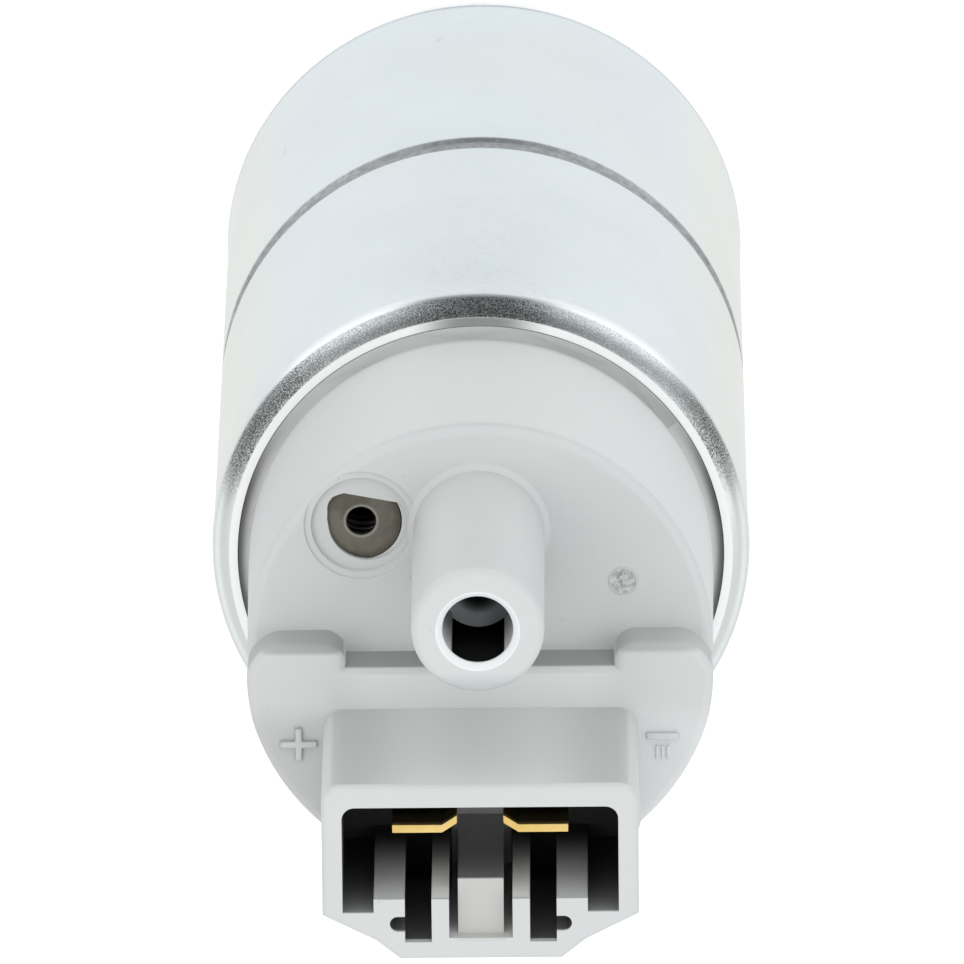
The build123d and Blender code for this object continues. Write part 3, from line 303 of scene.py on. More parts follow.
def moulded_grey(f):
    cloud = f.noise(70, 3, 0.5)
    fibre = f.noise(5200, 3, 0.7)
    pit = f.noise(1900, 2, 0.5)
    fleck = f.noise(1300, 2, 0.65).between(0.70, 0.78)
    colour = (cloud.between(0.3, 0.75) * 0.6).tint((0.60, 0.605, 0.60), (0.565, 0.575, 0.575))
    colour = (fleck * 0.25).tint(colour, (0.34, 0.34, 0.33))
    x, y, z = f.point()
    side = abs(x)
    left_half, right_half = x.under(0.0), x.over(0.0)
    radius_squared = x * x + y * y
    off = y - outlet_y * MM
    outlet_squared = x * x + off * off

    # A painted highlight brightens the rounded mouth of the outlet's bore
    mouth_highlight = outlet_squared.within(0.0023**2, 0.0029**2, 0.0000002) * z.over(0.1029)
    colour = mouth_highlight.tint(colour, (0.80, 0.815, 0.825))

    # Grime sticks in the mould mark, with a finer line of painted shade round the ring's foot
    on_face = z.within(cap_face * MM, (cap_face + 0.4) * MM)
    mark_x, mark_y = x - mark_centre[0] * MM, y - mark_centre[1] * MM
    mark_out = (mark_x * mark_x + mark_y * mark_y) ** 0.5
    grime = mark_out.under(0.00092, 0.00004) * on_face * f.noise(2600, 4, 0.75).between(0.46, 0.56)
    colour = (grime * 0.6).tint(colour, (0.25, 0.255, 0.25))
    ring_foot_shade = mark_out.within(0.00098, 0.00109, 0.00004) * on_face
    colour = (ring_foot_shade * (0.05 + 0.30 * cloud)).tint(colour, (0.22, 0.225, 0.22))

    # The polarity signs stand in a fine shade of their own outline
    minus_rise = (minus_centre[1] - plus_centre[1]) * MM
    sign_x = abs(side - minus_centre[0] * MM)
    sign_y = abs(y - plus_centre[1] * MM - minus_rise * right_half)
    bar = (sign_x + 0.00020 * right_half).under(0.00137, 0.00005) * sign_y.under(0.00031, 0.00005)
    upright = sign_x.under(0.00033, 0.00005) * sign_y.under(0.00128, 0.00005) * left_half
    sign_shade = bar.most(upright) * z.within(connector_base * MM, (connector_base + 0.32) * MM)
    colour = (sign_shade * 0.42).tint(colour, (0.20, 0.205, 0.20))

    # Painted light makes the step's top paler in front of the connector, and painted shade darkens each end
    # of the step
    bridge_light = side.between(0.0070, 0.0110, 1.0, 0.0) * y.within(-0.0034, -0.0009) * z.over(0.0870)
    colour = (bridge_light * 0.5).tint(colour, (0.78, 0.79, 0.78))
    corner = side.within(0.0095, 0.0168) * y.under(0.0030) * z.over(0.0841)
    corner = corner * (z.under(0.0867) * y.over(-0.0006)).most(z.under(0.0874) * y.over(0.0007, 0.0002))
    corner = corner * side.between(0.0095, 0.0160, 0.50, 0.36) * right_half.between(0.0, 1.0, 1.0, 0.72)
    colour = corner.tint(colour, (0.12, 0.12, 0.115))

    # Painted shade darkens the ring in the can's lip, and its seam with the lip nearly black, most on the
    # connector's side
    foot = radius_squared.over(0.01632**2, 0.000001) * z.between(0.0664, 0.0670, 1.0, 0.0)
    colour = (foot * 0.20).tint(colour, (0.12, 0.12, 0.115))
    seam_shade = foot * (radius_squared ** 0.5).between(0.01640, 0.01712) * y.between(0.0040, 0.0125, 0.93, 0.0)
    colour = seam_shade.tint(colour, (0.055, 0.052, 0.045))

    # Painted shade darkens the connector's base left of the connector, and painted light brightens it right
    # of it
    shelf_shading = side.between(0.0100, 0.0115) * z.within(0.0868, 0.0876) * y.between(-0.0055, -0.0025, 1.0, 0.0)
    colour = (shelf_shading * left_half * 0.5).tint(colour, (0.46, 0.465, 0.455))
    colour = (shelf_shading * right_half * 0.5).tint(colour, (0.74, 0.745, 0.745))

    # Painted light brightens the ribs in the socket, and the top of the lock ramp between them is greyer
    rib_light = side.within(0.0021, 0.0035) * y.within(-0.0120, -0.0116) * z.under(0.1018)
    colour = (rib_light * z.between(0.0930, 0.0980)).tint(colour, (0.82, 0.83, 0.81))
    ramp = side.under(0.0017) * y.within(-0.0149, -0.0109) * z.between(0.1000, 0.1002)
    colour = ramp.tint(colour, (0.545, 0.545, 0.52))

    # Painted light makes the tower's wall paler on the outlet's side, and the connector's face paler in its
    # middle, with painted shade towards its sides
    wall_light = radius_squared.over(0.0158**2, 0.000002) * z.over(0.0670, 0.0003) * z.under(0.0829, 0.0004)
    wall_light = wall_light * y.between(-0.002, 0.004) * x.between(-0.0120, -0.0040, 0.3, 0.8)
    colour = wall_light.tint(colour, (0.69, 0.695, 0.69))
    front_face_shading = y.within(-0.0036, -0.0032) * z.within(0.0874, 0.1016)
    front_shade = side.between(0.0035, 0.0090).tint((0.66, 0.665, 0.66), (0.495, 0.50, 0.495))
    colour = front_face_shading.tint(colour, front_shade)

    # Painted shade darkens the end of the outlet tube on the connector's side, and the step's riser is in
    # painted shade
    chin_shade = off.between(-0.0042, -0.0028, 1.0, 0.0) * z.over(0.1025)
    colour = chin_shade.tint(colour, (0.45, 0.475, 0.48))
    step = y.within(-0.00055, -0.0003) * side.under(0.0094) * z.within(0.0839, 0.0869)
    colour = (step * 0.60).tint(colour, (0.12, 0.12, 0.115))

    # Painted shade darkens the deep hollows: the socket with its column, keyholes and two long slots
    socket = y.over(-0.0129).most(side.under(0.0054) * y.over(-0.0151))
    socket = socket * side.under(0.00965) * y.under(-0.00495) * z.under(0.1019)
    deep = z.between(0.0895, 0.0990, 1.0, 0.0) ** 1.8
    well = side.over(0.0074) * z.between(0.0895, 0.1030, 1.0, 0.0) ** 0.16
    hollow_shade = socket * side.over(0.0021) * deep.most(well) * 0.965
    column = side.under(0.0021) * y.within(-0.0112, -0.00495) * z.under(0.1001)
    hollow_shade = hollow_shade.most(column * z.between(0.0890, 0.0960, 0.15, 0.71))
    keyhole = side.within(0.0052, 0.00635) * y.within(-0.01425, -0.01305) * z.under(0.1019)
    hollow_shade = hollow_shade.most(keyhole * 0.9)
    hollow_shade = hollow_shade.most(side.within(0.00335, 0.0053) * y.within(-0.01505, -0.01185) * z.under(0.1015))

    # Painted shade darkens the outlet's bore with depth, and the slot in its wall all over
    bore = outlet_squared.between(0.0027**2, 0.0029**2, 1.0, 0.0) * z.between(0.0955, 0.1031, 1.0, 0.0)
    bore_slot = side.under(0.00185) * y.within(0.0048, 0.0069) * z.within(0.09, 0.1028)
    hollow_shade = hollow_shade.most(bore_slot).most(bore * 0.35)
    colour = hollow_shade.tint(colour, (0.018, 0.018, 0.017))
    return {
        "Base Color": colour,
        "Roughness": 0.42 + 0.12 * fibre + 0.06 * cloud,
        "Normal": (fibre * 0.5 + pit * 0.5).relief(0.000010),
    }


cap_plastic = finish("grey_plastic", {"Metallic": 0.0, "IOR": 1.5}, moulded_grey)


def merged_copy(node, name):
    """A CAD solid's shape as a piece of its own, its loose triangles joined up to larger faces."""
    piece = bpy.data.objects.new(name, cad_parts[node].data.copy())
    bpy.context.scene.collection.objects.link(piece)
    piece.data.materials.clear()
    bpy.ops.object.select_all(action="DESELECT")
    piece.select_set(True)
    bpy.context.view_layer.objects.active = piece
    if piece.data.has_custom_normals:
        bpy.ops.mesh.customdata_custom_splitnormals_clear()
    bpy.ops.object.mode_set(mode="EDIT")
    bpy.ops.mesh.select_all(action="SELECT")
    bpy.ops.mesh.remove_doubles(threshold=0.000002)
    bpy.ops.mesh.dissolve_limited(angle_limit=radians(0.5))
    bpy.ops.object.mode_set(mode="OBJECT")
    return piece


def broken_edges(piece, width, limit=30):
    """Rounds a piece's sharp edges by a width in millimetres and shades it smooth."""
    edge = piece.modifiers.new("broken_edges", "BEVEL")
    edge.width = width * MM
    edge.segments = 2
    edge.limit_method = "ANGLE"
    edge.angle_limit = radians(limit)
    bpy.ops.object.modifier_apply(modifier="broken_edges")
    bpy.ops.object.shade_smooth_by_angle(angle=radians(30))
    lead = piece.modifiers.new("face_lead", "WEIGHTED_NORMAL")
    lead.keep_sharp = True
    bpy.ops.object.modifier_apply(modifier="face_lead")


def reshaped(piece, place):
    """Moves a piece's points: place takes x, y and z in millimetres and gives the new ones."""
    for point in piece.data.vertices:
        point.co = Vector(place(*(point.co / MM))) * MM


def between_stops(value, stops):
    """A value read off a line through (place, value) stops, level beyond its ends."""
    for (low, first), (high, last) in zip(stops, stops[1:]):
        if value < high:
            return first + (last - first) * max(0.0, value - low) / (high - low)
    return stops[-1][1]


# The outline of the socket's rear wall, and the window's corner as (degrees, radius) stops
socket_rear = [(-10.95, -12.6), (-7.3, -14.4), (-5.3, -16.1), (5.3, -16.1), (7.3, -14.4), (10.95, -12.6)]
window_middle, window_radius = (-7.7517, 8.9505), 2.75
window_corner = [(126, 2.75), (134, 2.93), (143, 3.13), (154, 3.10), (165, 2.89), (180, 2.79), (181, 2.75)]
lip_ring_radius, lip_ring_drop, lip_ring_rise = 17.18, 0.43, 0.08
socket_floor = 88.2


def socket_wall_gap(x, y):
    """How far a point is from the outline of the socket's rear wall."""
    gap = 100.0
    for first, last in zip(socket_rear, socket_rear[1:]):
        run = Vector(last) - Vector(first)
        along = max(0.0, min(1.0, (Vector((x, y)) - Vector(first)).dot(run) / run.length_squared))
        gap = min(gap, (Vector(first) + run * along - Vector((x, y))).length)
    return gap


def cap_fit(x, y, z):
    """Moves the cap's points to fit the lip's ring, the lower tower, the socket's rear and the window."""
    out = hypot(x, y)
    if 64.6 < z < 66.6 and out > 16.3:
        # The ring fills the can's lip and slopes up to the tower
        if z > 66:
            z += -lip_ring_drop if out > 16.6 else lip_ring_rise
        wider = lip_ring_radius / out if 16.6 < out < 16.9 else 1.0
        x, y = x * wider, y * wider
    gap = socket_wall_gap(x, y)

    # The connector's rear outline stands out a little further than the solid's
    if z > 86.5 and gap < (0.42 if z > 101.69 else 0.05):
        lean = between_stops(abs(x), [(3.3, 0.0), (5.3, 0.30), (7.3, 0.0)])
        drop = between_stops(abs(x), [(5.3, 0.20), (7.3, 0.52), (10.95, 0.45)])
        return x + (lean if x > 0 else -lean), y - drop, z
    if 66.4 < z < 87.4 and 15.4 < out < 16.6:
        # The tower is up to a third of a millimetre wider on the connector's side
        swell = 1 + between_stops(-y, [(-0.5, 0.0), (4.5, 0.32)]) / out
        return x * swell, y * swell, z
    if abs(x) < 1.62 and -14.8 < y < -10.9 and 95.2 < z < 95.4:
        # The lock ramp's body reaches down to the socket's floor
        return x, y, socket_floor
    off = Vector((x - window_middle[0], y - window_middle[1]))
    if 82.8 < z < 83.4 and abs(off.length - window_radius) < 0.03:
        # The window is round but for one squared corner
        angle = degrees(atan2(off.y, off.x)) % 360
        if window_corner[0][0] <= angle <= window_corner[-1][0]:
            off *= between_stops(angle, window_corner) / window_radius
            return window_middle[0] + off.x, window_middle[1] + off.y, z
    return x, y, z


end_cap = merged_copy("end_cap", "end_cap_moulding")
reshaped(end_cap, cap_fit)
broken_edges(end_cap, 0.14, 40)
end_cap.data.materials.append(cap_plastic)
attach(end_cap, "housing")
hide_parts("end_cap")


# Polarity signs: a plus and a minus that stand up from the connector's base, moulded with the cap.
# Their strokes are half a millimetre wide, with rounded upper edges. The minus is the earthed side,
# so three fine strokes hang under it.
def pick(piece, wanted):
    """Selects the faces for which wanted says yes, and goes into edit mode."""
    bpy.ops.object.mode_set(mode="EDIT")
    bpy.ops.mesh.select_mode(type="FACE")
    bpy.ops.mesh.select_all(action="DESELECT")
    bpy.ops.object.mode_set(mode="OBJECT")
    for face in piece.data.polygons:
        face.select = wanted(face)
    bpy.ops.object.mode_set(mode="EDIT")


def raised_sign(name, centre, arms, stroke=0.46, sign_height=0.42):
    """A raised sign: a square stud whose sides are drawn out into arms, each (x, y, length)."""
    bpy.ops.object.select_all(action="DESELECT")
    bpy.ops.mesh.primitive_cube_add(
        size=stroke * MM, location=(centre[0] * MM, centre[1] * MM, (connector_base + sign_height / 2) * MM))
    sign = bpy.context.object
    sign.name = name
    sign.scale.z = sign_height / stroke
    bpy.ops.object.transform_apply(location=True, scale=True)
    for x, y, length in arms:
        pick(sign, lambda face: face.normal.dot(Vector((x, y, 0))) > 0.9
             and (face.center.xy - Vector(centre) * MM).length < stroke * MM)
        run = (x * length * MM, y * length * MM, 0)
        bpy.ops.mesh.extrude_region_move(TRANSFORM_OT_translate={"value": run})
        bpy.ops.object.mode_set(mode="OBJECT")
    broken_edges(sign, stroke * 0.26)
    sign.data.materials.append(cap_plastic)
    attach(sign, "housing")


raised_sign("plus_sign", plus_centre, [(1, 0, 1.05), (-1, 0, 1.05), (0, 1, 0.95), (0, -1, 0.95)])
raised_sign("minus_sign", minus_centre, [(1, 0, 0.87), (-1, 0, 0.87)])
earth_pitch, earth_drop = 0.38, 1.23
for count in range(3):
    earth_centre = (minus_centre[0] + earth_pitch * (count - 1), minus_centre[1] - earth_drop)
    raised_sign(f"earth_stroke_{count}", earth_centre, [(0, 1, 0.42), (0, -1, 0.42)], 0.17, 0.26)


# Mould mark: the print of a round mould insert on the cap's face, a fine raised ring with an arrow
# inside it, as any moulder's date insert leaves.
ring_top = cap_face + 0.15
ring_section = [(0.87, cap_face, 0.0), (1.02, cap_face, 0.0), (0.99, ring_top, 0.03), (0.90, ring_top, 0.03)]
mark_ring = turned("mould_ring", ring_section, steps=64, centre=mark_centre)
mark_ring.data.materials.append(cap_plastic)
arrow_size, arrow_height, arrow_tail = 0.42, 0.22, 0.75
bpy.ops.object.select_all(action="DESELECT")
bpy.ops.mesh.primitive_circle_add(
    vertices=3, radius=arrow_size * MM, fill_type="NGON",
    location=(mark_centre[0] * MM, (mark_centre[1] + 0.33) * MM, cap_face * MM))
mark_arrow = bpy.context.object
mark_arrow.name = "mould_arrow"
bpy.ops.object.transform_apply(location=True)
bpy.ops.object.mode_set(mode="EDIT")
bpy.ops.mesh.select_all(action="SELECT")
bpy.ops.mesh.extrude_region_move(TRANSFORM_OT_translate={"value": (0, 0, arrow_height * MM)})
bpy.ops.object.mode_set(mode="OBJECT")
pick(mark_arrow, lambda face: face.normal.y < -0.9)
bpy.ops.mesh.inset(thickness=0.03 * MM)
bpy.ops.transform.resize(value=(0.34, 1, 1), center_override=(mark_centre[0] * MM, 0, 0))
bpy.ops.mesh.extrude_region_move(TRANSFORM_OT_translate={"value": (0, -arrow_tail * MM, 0)})
bpy.ops.mesh.select_all(action="SELECT")
bpy.ops.mesh.normals_make_consistent(inside=False)
bpy.ops.object.mode_set(mode="OBJECT")
broken_edges(mark_arrow, 0.02)
mark_arrow.data.materials.append(cap_plastic)
for mark in (mark_ring, mark_arrow):
    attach(mark, "housing")


# Terminals: two brass blades, stamped from strip with one edge bent up, that stand in slots of the
# connector's floor. Their sheared tips shine, and painted shade darkens the faces towards the root.
def brass_sheet(f):
    cloud = f.noise(260, 3, 0.5)
    stamp = f.noise(2400, 3, 0.6, stretch=(1, 1, 0.08))
    z = f.point()[2]
    # Painted shade: the blade darkens below its tip, deep in the socket
    root_shade = z.between(0.0984, 0.0990, 1.0, 0.0)
    depth_shade = root_shade * (0.82 + 0.18 * z.between(0.0960, 0.0980, 1.0, 0.0))
    colour = cloud.between(0.35, 0.7).tint((0.90, 0.67, 0.26), (0.80, 0.55, 0.18))
    return {
        "Base Color": depth_shade.tint(colour, (0.030, 0.018, 0.004)),
        "Roughness": 0.22 + 0.2 * stamp,
        "Normal": stamp.relief(0.000003),
    }


blade_y, blade_inner, blade_thickness, blade_tip = -7.75, 2.65, 0.6, 99.1


def squared_tip(x, y, z):
    """The blade's tip is nearly square: its chamfer's points go back to the sheet's full thickness."""
    off = y - blade_y
    if z < blade_tip - 0.25 or abs(off) > 0.32 or abs(x) < 2.2:
        return x, y, z
    tip_x = x if abs(x) > 4 else copysign(blade_inner, x)
    return tip_x, blade_y + copysign(blade_thickness / 2, off), blade_tip


brass = finish("brass", {"Metallic": 1.0}, brass_sheet)
for side in ("positive", "negative"):
    terminal = merged_copy("terminal_" + side, "terminal_blade_" + side)
    reshaped(terminal, squared_tip)
    bpy.ops.object.mode_set(mode="EDIT")
    bpy.ops.mesh.select_all(action="SELECT")
    bpy.ops.mesh.remove_doubles(threshold=0.00001)
    bpy.ops.object.mode_set(mode="OBJECT")
    broken_edges(terminal, 0.05)
    terminal.data.materials.append(brass)
    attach(terminal, "housing")
    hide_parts("terminal_" + side)


# Relief valve: a drawn metal cup pressed into the cap under the recess, its blow-off hole punched
# in the middle. It is dull and slightly brown from the bath, with a painted highlight on the burr round the
# hole.
relief_middle = (-8.2017, 8.9505)


def drawn_metal(f):
    x, y, z = f.point()
    cloud = f.noise(420, 4, 0.6)
    speck = f.noise(6000, 3, 0.6)
    off_x, off_y = x - relief_middle[0] * MM, y - relief_middle[1] * MM
    out = off_x * off_x + off_y * off_y
    # Painted highlight on the burr, painted shade darkening the cup's outer edge, and the hole painted black
    # as shade
    burr_highlight = out.between(0.00100**2, 0.00112**2) * out.between(0.00116**2, 0.00130**2, 1.0, 0.0)
    inside = z.between(0.08262, 0.08278, 1.0, 0.0)
    inside = inside.most(out.between(0.00098**2, 0.00104**2, 1.0, 0.0))
    edge = out.between(0.0021**2, 0.0027**2)
    colour = cloud.between(0.32, 0.68).tint((0.20, 0.185, 0.155), (0.135, 0.122, 0.10))
    colour = (edge * 0.55).tint(colour, (0.06, 0.052, 0.042))
    colour = (burr_highlight * 0.6).tint(colour, (0.40, 0.39, 0.35))
    colour = inside.tint(colour, (0.004, 0.004, 0.004))
    return {
        "Base Color": colour,
        "Roughness": 0.42 + 0.2 * speck,
        "Normal": (speck * 0.6 + cloud * 0.4).relief(0.000010),
    }


relief_metal = finish("drawn_metal", {"Metallic": 0.75}, drawn_metal)
relief_body = merged_copy("relief_body", "relief_cup")
broken_edges(relief_body, 0.09)
relief_body.data.materials.append(relief_metal)
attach(relief_body, "housing")
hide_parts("relief_body")


# Guide disc of the outlet's check valve: pale bluish grey plastic, pressed into the tube's bore.
# It lies in painted shade on its right side, and the hole for the poppet's stem in its middle is painted
# black as shade.
def guide_moulding(f):
    cloud = f.noise(400, 3, 0.5)
    grain = f.noise(5000, 3, 0.6)
    x, y = f.point()[:2]
    off = y - outlet_y * MM
    # The hole is painted black as shade, and the disc's right side is painted in shade
    hole_shade = (x * x + off * off).between(0.0010**2, 0.0019**2, 1.0, 0.0)
    colour = cloud.tint((0.66, 0.72, 0.74), (0.54, 0.59, 0.60))
    colour = (x.between(-0.0004, 0.0016) * 0.7).tint(colour, (0.16, 0.17, 0.17))
    return {
        "Base Color": hole_shade.tint(colour, (0.012, 0.012, 0.012)),
        "Roughness": 0.38 + 0.2 * grain,
        "Normal": grain.relief(0.000008),
    }


valve_guide = merged_copy("valve_guide", "valve_guide_disc")
broken_edges(valve_guide, 0.08)
valve_guide.data.materials.append(finish("guide_plastic", {"IOR": 1.5}, guide_moulding))
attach(valve_guide, "housing")
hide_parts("valve_guide")


# Pump end: the inlet cover and the casing over the impeller, die-cast in aluminium. The faces are
# machined, so they carry fine turning rings, and the pockets keep the grainy skin of the die.
def die_cast(f):
    x, y, z = f.point()
    skin = f.noise(1800, 4, 0.6)
    cloud = f.noise(160, 4, 0.55)
    radius = (x * x + y * y) ** 0.5
    ring_phase = 26000.0  # Radians to the metre, which is a ring every 0.24 mm
    rings = (radius * ring_phase).sine()
    faced = z.between(0.00125, 0.00150, 1.0, 0.0)
    faced = faced.most(z.within(0.00795, 0.00805, 0.00003))
    colour = cloud.between(0.35, 0.7).tint((0.60, 0.605, 0.61), (0.47, 0.475, 0.48))
    colour = (faced * 0.5).tint(colour, (0.72, 0.72, 0.72))
    return {
        "Base Color": colour,
        "Roughness": 0.46 + 0.18 * skin - 0.14 * faced,
        "Normal": (skin * (1 - faced)).relief(0.000030, (rings * faced).relief(0.0000015)),
    }


casting = finish("die_cast_aluminium", {"Metallic": 1.0}, die_cast)
inlet_cover = merged_copy("inlet_cover", "inlet_cover_casting")
broken_edges(inlet_cover, 0.15)
inlet_cover.data.materials.append(casting)
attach(inlet_cover, "housing")
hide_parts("inlet_cover")


def dress(names, material):
    """Gives their finish to the pieces whose CAD shape is shown as it is."""
    for name in names:
        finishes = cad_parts[name].data.materials
        finishes.clear()
        finishes.append(material)


dress(["pump_casing"], casting)


# Impeller: a thin vaned disc of dark phenolic resin that turns with the shaft in the pump end.
# It is ground flat on both faces, so that its glass fill shows.
def phenolic(f):
    fibre = f.noise(3800, 4, 0.7, stretch=(1, 0.3, 1))
    cloud = f.noise(220, 3, 0.5)
    colour = cloud.tint((0.075, 0.055, 0.042), (0.115, 0.088, 0.066))
    return {
        "Base Color": (fibre.between(0.58, 0.72) * 0.5).tint(colour, (0.30, 0.25, 0.19)),
        "Roughness": 0.36 + 0.24 * fibre,
        "Normal": fibre.relief(0.000006),
    }


dress(["impeller"], finish("phenolic_resin", {"IOR": 1.55}, phenolic))


# Shaft, thrust pad and relief ball: hardened steel, ground bright, with fine marks round the axis.
# The shaft stands on the pad, which lies in a pocket of the inlet cover.
def ground_steel(f):
    marks = f.noise(5200, 3, 0.6, stretch=(0.06, 0.06, 1))
    cloud = f.noise(240, 3, 0.5)
    return {
        "Base Color": cloud.tint((0.62, 0.62, 0.62), (0.54, 0.535, 0.525)),
        "Roughness": 0.14 + 0.18 * marks,
        "Normal": marks.relief(0.0000015),
    }


dress(["shaft", "thrust_pad", "relief_ball"], finish("ground_steel", {"Metallic": 1.0}, ground_steel))


# Bearings: two bushes of sintered bronze that the shaft turns in. They are full of fine pores and
# stained by oil.
def sintered(f):
    pores = f.noise(6500, 4, 0.75)
    oil = f.noise(380, 3, 0.55)
    colour = oil.tint((0.46, 0.33, 0.20), (0.31, 0.21, 0.12))
    return {
        "Base Color": pores.between(0.60, 0.68).tint(colour, (0.08, 0.055, 0.035)),
        "Roughness": 0.42 + 0.22 * pores,
        "Normal": pores.relief(0.000022),
    }


dress(["lower_bearing", "upper_bearing"], finish("sintered_bronze", {"Metallic": 0.85}, sintered))


# Magnets and choke rods: fired ferrite, charcoal grey and dull, with chalky handling marks.
# Two clips push the magnets apart and against the can, and the rods stand in the brush holder.
def fired_ferrite(f):
    grain = f.noise(4200, 4, 0.7)
    chalk = f.noise(300, 5, 0.65).between(0.58, 0.75)
    return {
        "Base Color": (chalk * 0.4).tint((0.052, 0.052, 0.056), (0.16, 0.155, 0.15)),
        "Roughness": 0.58 + 0.22 * grain,
        "Normal": grain.relief(0.000020),
    }


ferrite = finish("fired_ferrite", {"IOR": 1.6}, fired_ferrite)
dress(["magnet_a", "magnet_b", "choke_core_positive", "choke_core_negative"], ferrite)


# Magnet clips: U-shaped strips of drawn spring steel, blued in places by its heat treatment. The
# coil springs of the next section have the same finish.
def drawn_steel(f):
    lines = f.noise(3600, 3, 0.6, stretch=(1, 1, 0.2))
    blue = f.noise(420, 3, 0.5)
    colour = blue.between(0.42, 0.72).tint((0.46, 0.455, 0.45), (0.30, 0.32, 0.37))
    return {
        "Base Color": colour,
        "Roughness": 0.26 + 0.2 * lines,
        "Normal": lines.relief(0.000003),
    }


spring_steel = finish("spring_steel", {"Metallic": 1.0}, drawn_steel)
dress(["magnet_clip_a", "magnet_clip_b"], spring_steel)


# Coil springs: each stands on a fixed upper seat and presses on a brush, the poppet or the ball below.
# Each row gives the spring, its joint and that joint's travel in millimetres; the coil keeps its CAD shape.
coil_springs = [
    ("brush_spring_a", "brush_a_slide", 3.0), ("brush_spring_b", "brush_b_slide", 3.0),
    ("check_spring", "poppet_lift", 1.8), ("relief_spring", "relief_lift", 1.0),
]
for name, joint, travel in coil_springs:
    coil = merged_copy(name, name + "_coil")
    bpy.ops.object.shade_smooth()
    coil.data.materials.append(spring_steel)
    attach(coil, "housing")
    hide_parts(name)
    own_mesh(coil)


# Armature core: half-millimetre laminations stacked and pressed on the shaft, so its side is ruled
# with fine seams, and a thin film of oil has yellowed it here and there.
def stacked_sheet(f):
    z = f.point()[2]
    sheet_phase = 12566.0  # Radians to the metre, which is a seam every 0.5 mm
    seam_shade = (z * sheet_phase).sine()
    cloud = f.noise(260, 4, 0.55)
    colour = cloud.between(0.4, 0.7).tint((0.42, 0.42, 0.42), (0.33, 0.30, 0.24))
    return {
        "Base Color": seam_shade.between(0.75, 1.0).tint(colour, (0.10, 0.10, 0.10)),
        "Roughness": 0.34 + 0.2 * cloud,
        "Normal": seam_shade.relief(0.000010),
    }


dress(["armature_core"], finish("laminated_steel", {"Metallic": 0.95}, stacked_sheet))


# Brushes and commutator: pressed carbon, black and greasy. The brushes run on the commutator's
# flat upper face, which polishes both.
def pressed_carbon(f):
    grain = f.noise(5200, 4, 0.7)
    polish = f.noise(320, 3, 0.5)
    return {
        "Base Color": grain.between(0.55, 0.75).tint((0.028, 0.028, 0.029), (0.085, 0.085, 0.088)),
        "Roughness": 0.30 + 0.3 * polish.between(0.35, 0.7),
        "Normal": grain.relief(0.000008),
    }


dress(["brush_a", "brush_b", "commutator"], finish("pressed_carbon", {"IOR": 1.8}, pressed_carbon))


# Brush holder, commutator hub, valve seats and poppet: moulded in glass-filled plastic of a darker
# grey than the cap's.
def holder_moulding(f):
    cloud = f.noise(180, 3, 0.5)
    fibre = f.noise(4800, 3, 0.65)
    return {
        "Base Color": cloud.tint((0.19, 0.18, 0.17), (0.235, 0.225, 0.21)),
        "Roughness": 0.44 + 0.16 * fibre,
        "Normal": fibre.relief(0.000008),
    }


holder_plastic = finish("holder_plastic", {"IOR": 1.5}, holder_moulding)
dress(["brush_holder", "commutator_hub", "valve_seat", "check_poppet", "relief_seat"], holder_plastic)


# Seal ring: black nitrile rubber, matt with a faint bloom, in the groove of the cap's spigot where
# it seals against the can.
def nitrile(f):
    grain = f.noise(3000, 4, 0.6)
    bloom = f.noise(260, 3, 0.55).between(0.5, 0.75)
    return {
        "Base Color": (bloom * 0.4).tint((0.022, 0.022, 0.023), (0.07, 0.07, 0.07)),
        "Roughness": 0.62 + 0.2 * grain,
        "Normal": grain.relief(0.000012),
    }


dress(["cap_seal"], finish("nitrile_rubber", {"IOR": 1.45}, nitrile))


# Windings: enamelled copper wire, wound in the slots of the armature and round the two choke rods,
# where its varnish shines.
def enamelled(f):
    z = f.point()[2]
    strand_phase = 15700.0  # Radians to the metre, which is a strand every 0.4 mm
    strand = (z * strand_phase + f.noise(300, 3, 0.5) * 6.0).sine()
    cloud = f.noise(420, 3, 0.5)
    colour = cloud.tint((0.56, 0.23, 0.085), (0.42, 0.15, 0.05))
    return {
        "Base Color": strand.between(-1.0, -0.5, 0.6, 0.0).tint(colour, (0.10, 0.03, 0.012)),
        "Roughness": 0.22 + 0.16 * cloud,
        "Normal": strand.relief(0.000060),
    }


copper = finish("enamelled_copper", {"Metallic": 0.9, "Coat Weight": 0.5, "Coat Roughness": 0.15}, enamelled)
dress(["armature_winding", "choke_winding_positive", "choke_winding_negative"], copper)


# Floor: a sheet of pale matt paper that the pump stands on. Metal mirrors a plain glow in its place,
# which is dark on the outlet's side with a bright strip left and right of that.
floor_size = 6
bpy.ops.object.select_all(action="DESELECT")
bpy.ops.mesh.primitive_plane_add(size=floor_size, location=(0, 0, 0))
floor = bpy.context.object
floor.name = "floor"
paper = bpy.data.materials.new("floor_paper")
paper.use_nodes = True
tree = paper.node_tree
tree.nodes.remove(tree.nodes["Principled BSDF"])
shading = Field(tree, None)
diffuse = shading.node("BsdfDiffuse", None, {"Color": (0.80, 0.80, 0.80, 1)})
ray_camera = shading.node("LightPath", output="Is Camera Ray")
ray_glossy = shading.node("LightPath", output="Is Glossy Ray")
glow = shading.node("Emission", None, {"Color": (1, 1, 1, 1), "Strength": ray_camera * 0.42})
lit = shading.node("AddShader", None, {0: diffuse, 1: glow})
floor_x, floor_y = shading.point()[:2]
floor_side = abs(floor_x)
far_side = floor_side.between(0.06, 0.20, 0.0, 0.35)
away = (floor_x * floor_x + floor_y * floor_y).between(0.060**2, 0.085**2)
strip = (floor_side - floor_y * 0.28).between(0.0, 0.02)
strip = strip * (floor_side - floor_y * 1.9).between(0.0, 0.03, 1.0, 0.0)
dark_floor = away * floor_y.between(0.012, 0.030) * (1 - strip)
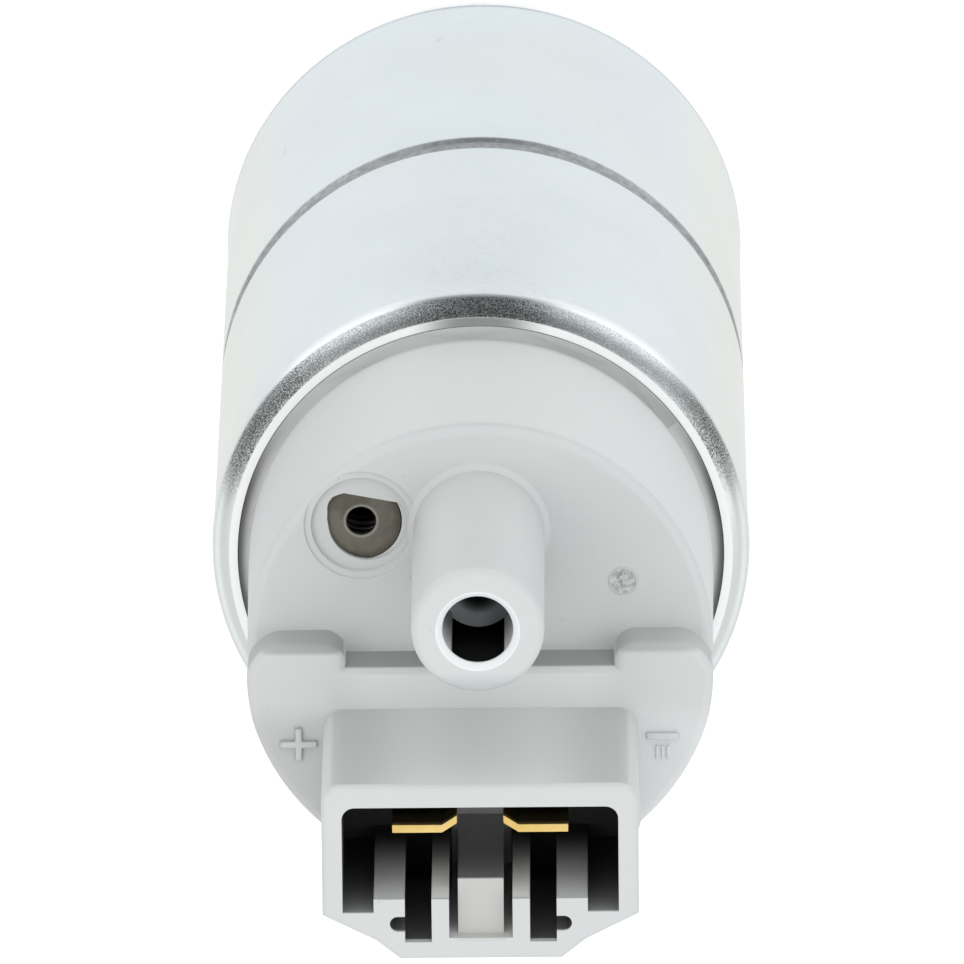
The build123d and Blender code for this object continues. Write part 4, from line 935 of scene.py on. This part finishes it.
mirrored_glow = (0.99 + far_side) * (1 - 0.92 * dark_floor) + away * strip * floor_y.over(0.0) * 0.35
mirrored = shading.node("Emission", None, {"Color": (0.955, 0.985, 1.0, 1), "Strength": mirrored_glow})
paper_look = shading.node("MixShader", None, {0: ray_glossy, 1: lit, 2: mirrored})
tree.links.new(paper_look.socket, tree.nodes["Material Output"].inputs["Surface"])
floor.data.materials.append(paper)


# Room: even white light all round. Metal mirrors it as bright on the connector's side and dark on
# the outlet's, where two soft windows stand left and right.
world = bpy.data.worlds.new("studio")
bpy.context.scene.world = world
world.use_nodes = True
tree = world.node_tree
shading = Field(tree, None)
backdrop = tree.nodes["Background"]
backdrop.inputs["Color"].default_value = (0.97, 0.99, 1.0, 1.0)
ray_camera = shading.node("LightPath", output="Is Camera Ray")
ray_glossy = shading.node("LightPath", output="Is Glossy Ray")
toward = shading.node("TexCoord", output="Generated")
toward_x, toward_y, toward_z = [shading.node("SeparateXYZ", None, {0: toward}, axis) for axis in range(3)]
window_x, window_y, window_z = 0.64, 0.71, 0.30
off_x = abs(toward_x) - window_x
off_y = toward_y - window_y
off_z = toward_z - window_z
window = (off_x * off_x + off_y * off_y + off_z * off_z).between(0.0, 0.22, 1.10, 0.0)
mirrored_room = toward_y.between(-0.10, 0.12, 0.98, 0.05) + window
plain_room = 0.92 + ray_camera * 0.08
strength = ray_glossy * mirrored_room + (1 - ray_glossy) * plain_room
tree.links.new(strength.socket, backdrop.inputs["Strength"])


# Lights: two large soft ones overhead, one behind the connector and one beyond the outlet, which
# metal doesn't mirror.
def soft_light(name, width, height, power, place, aim, colour):
    lamp = bpy.data.lights.new(name, "AREA")
    lamp.shape = "RECTANGLE"
    lamp.size = width
    lamp.size_y = height
    lamp.energy = power
    lamp.color = colour
    stand = bpy.data.objects.new(name, lamp)
    bpy.context.scene.collection.objects.link(stand)
    stand.location = place
    stand.rotation_euler = (Vector(aim) - Vector(place)).to_track_quat("-Z", "Y").to_euler()
    return stand


cap_seat = (0, 0, 0.07)
soft_light("overhead_left", 0.5, 0.5, 0.9, (-0.45, 0.1, 0.75), cap_seat, (1.0, 0.985, 0.96))
soft_light("overhead_right", 0.4, 0.6, 0.9, (0.5, 0.05, 0.65), cap_seat, (0.97, 0.99, 1.0))
soft_light("behind_connector", 0.6, 0.3, 0.5, (0, -0.6, 0.6), cap_seat, (1.0, 1.0, 1.0))
outlet_side = soft_light("outlet_side", 0.7, 0.4, 0.85, (0.05, 0.75, 0.40), (0, 0, 0.08), (1.0, 1.0, 1.0))
outlet_side.visible_glossy = False


# Camera: a long lens over the outlet end, tilted off the pump's axis towards the outlet's side.
# It looks past the centre of the can's front rim, which the shifts put where the photograph has it.
camera_tilt = radians(20.49)
camera_turn = radians(-1.12)
camera_roll = radians(-0.6)
camera_distance = 1.195
pixels_per_metre = 14114
picture_width = 964
sensor_width = 36
shift_right, shift_up = 1.1, 72.25  # Pixels from the rim's centre to the picture's middle
look = Vector((0, -sin(camera_tilt), -cos(camera_tilt)))
up = Vector((0, cos(camera_tilt), -sin(camera_tilt)))
right = Vector((1, 0, 0))
roll = Matrix.Rotation(camera_roll, 3, look)
up, right = roll @ up, roll @ right
rim_centre = Vector((0, 0, can_length * MM))
aim = rim_centre + (right * shift_right + up * shift_up) / pixels_per_metre
place = aim - look * camera_distance
camera = bpy.data.objects.new("camera", bpy.data.cameras.new("camera"))
bpy.context.scene.collection.objects.link(camera)
camera.data.sensor_width = sensor_width
camera.data.lens = sensor_width * pixels_per_metre * camera_distance / picture_width
camera.data.clip_end = 10
basis = Matrix((right, up, -look)).transposed()
turn = Matrix.Rotation(camera_turn, 3, "Z")
camera.matrix_world = Matrix.Translation(turn @ place) @ (turn @ basis).to_4x4()
bpy.context.scene.camera = camera

bpy.context.scene.view_settings.view_transform = "Standard"
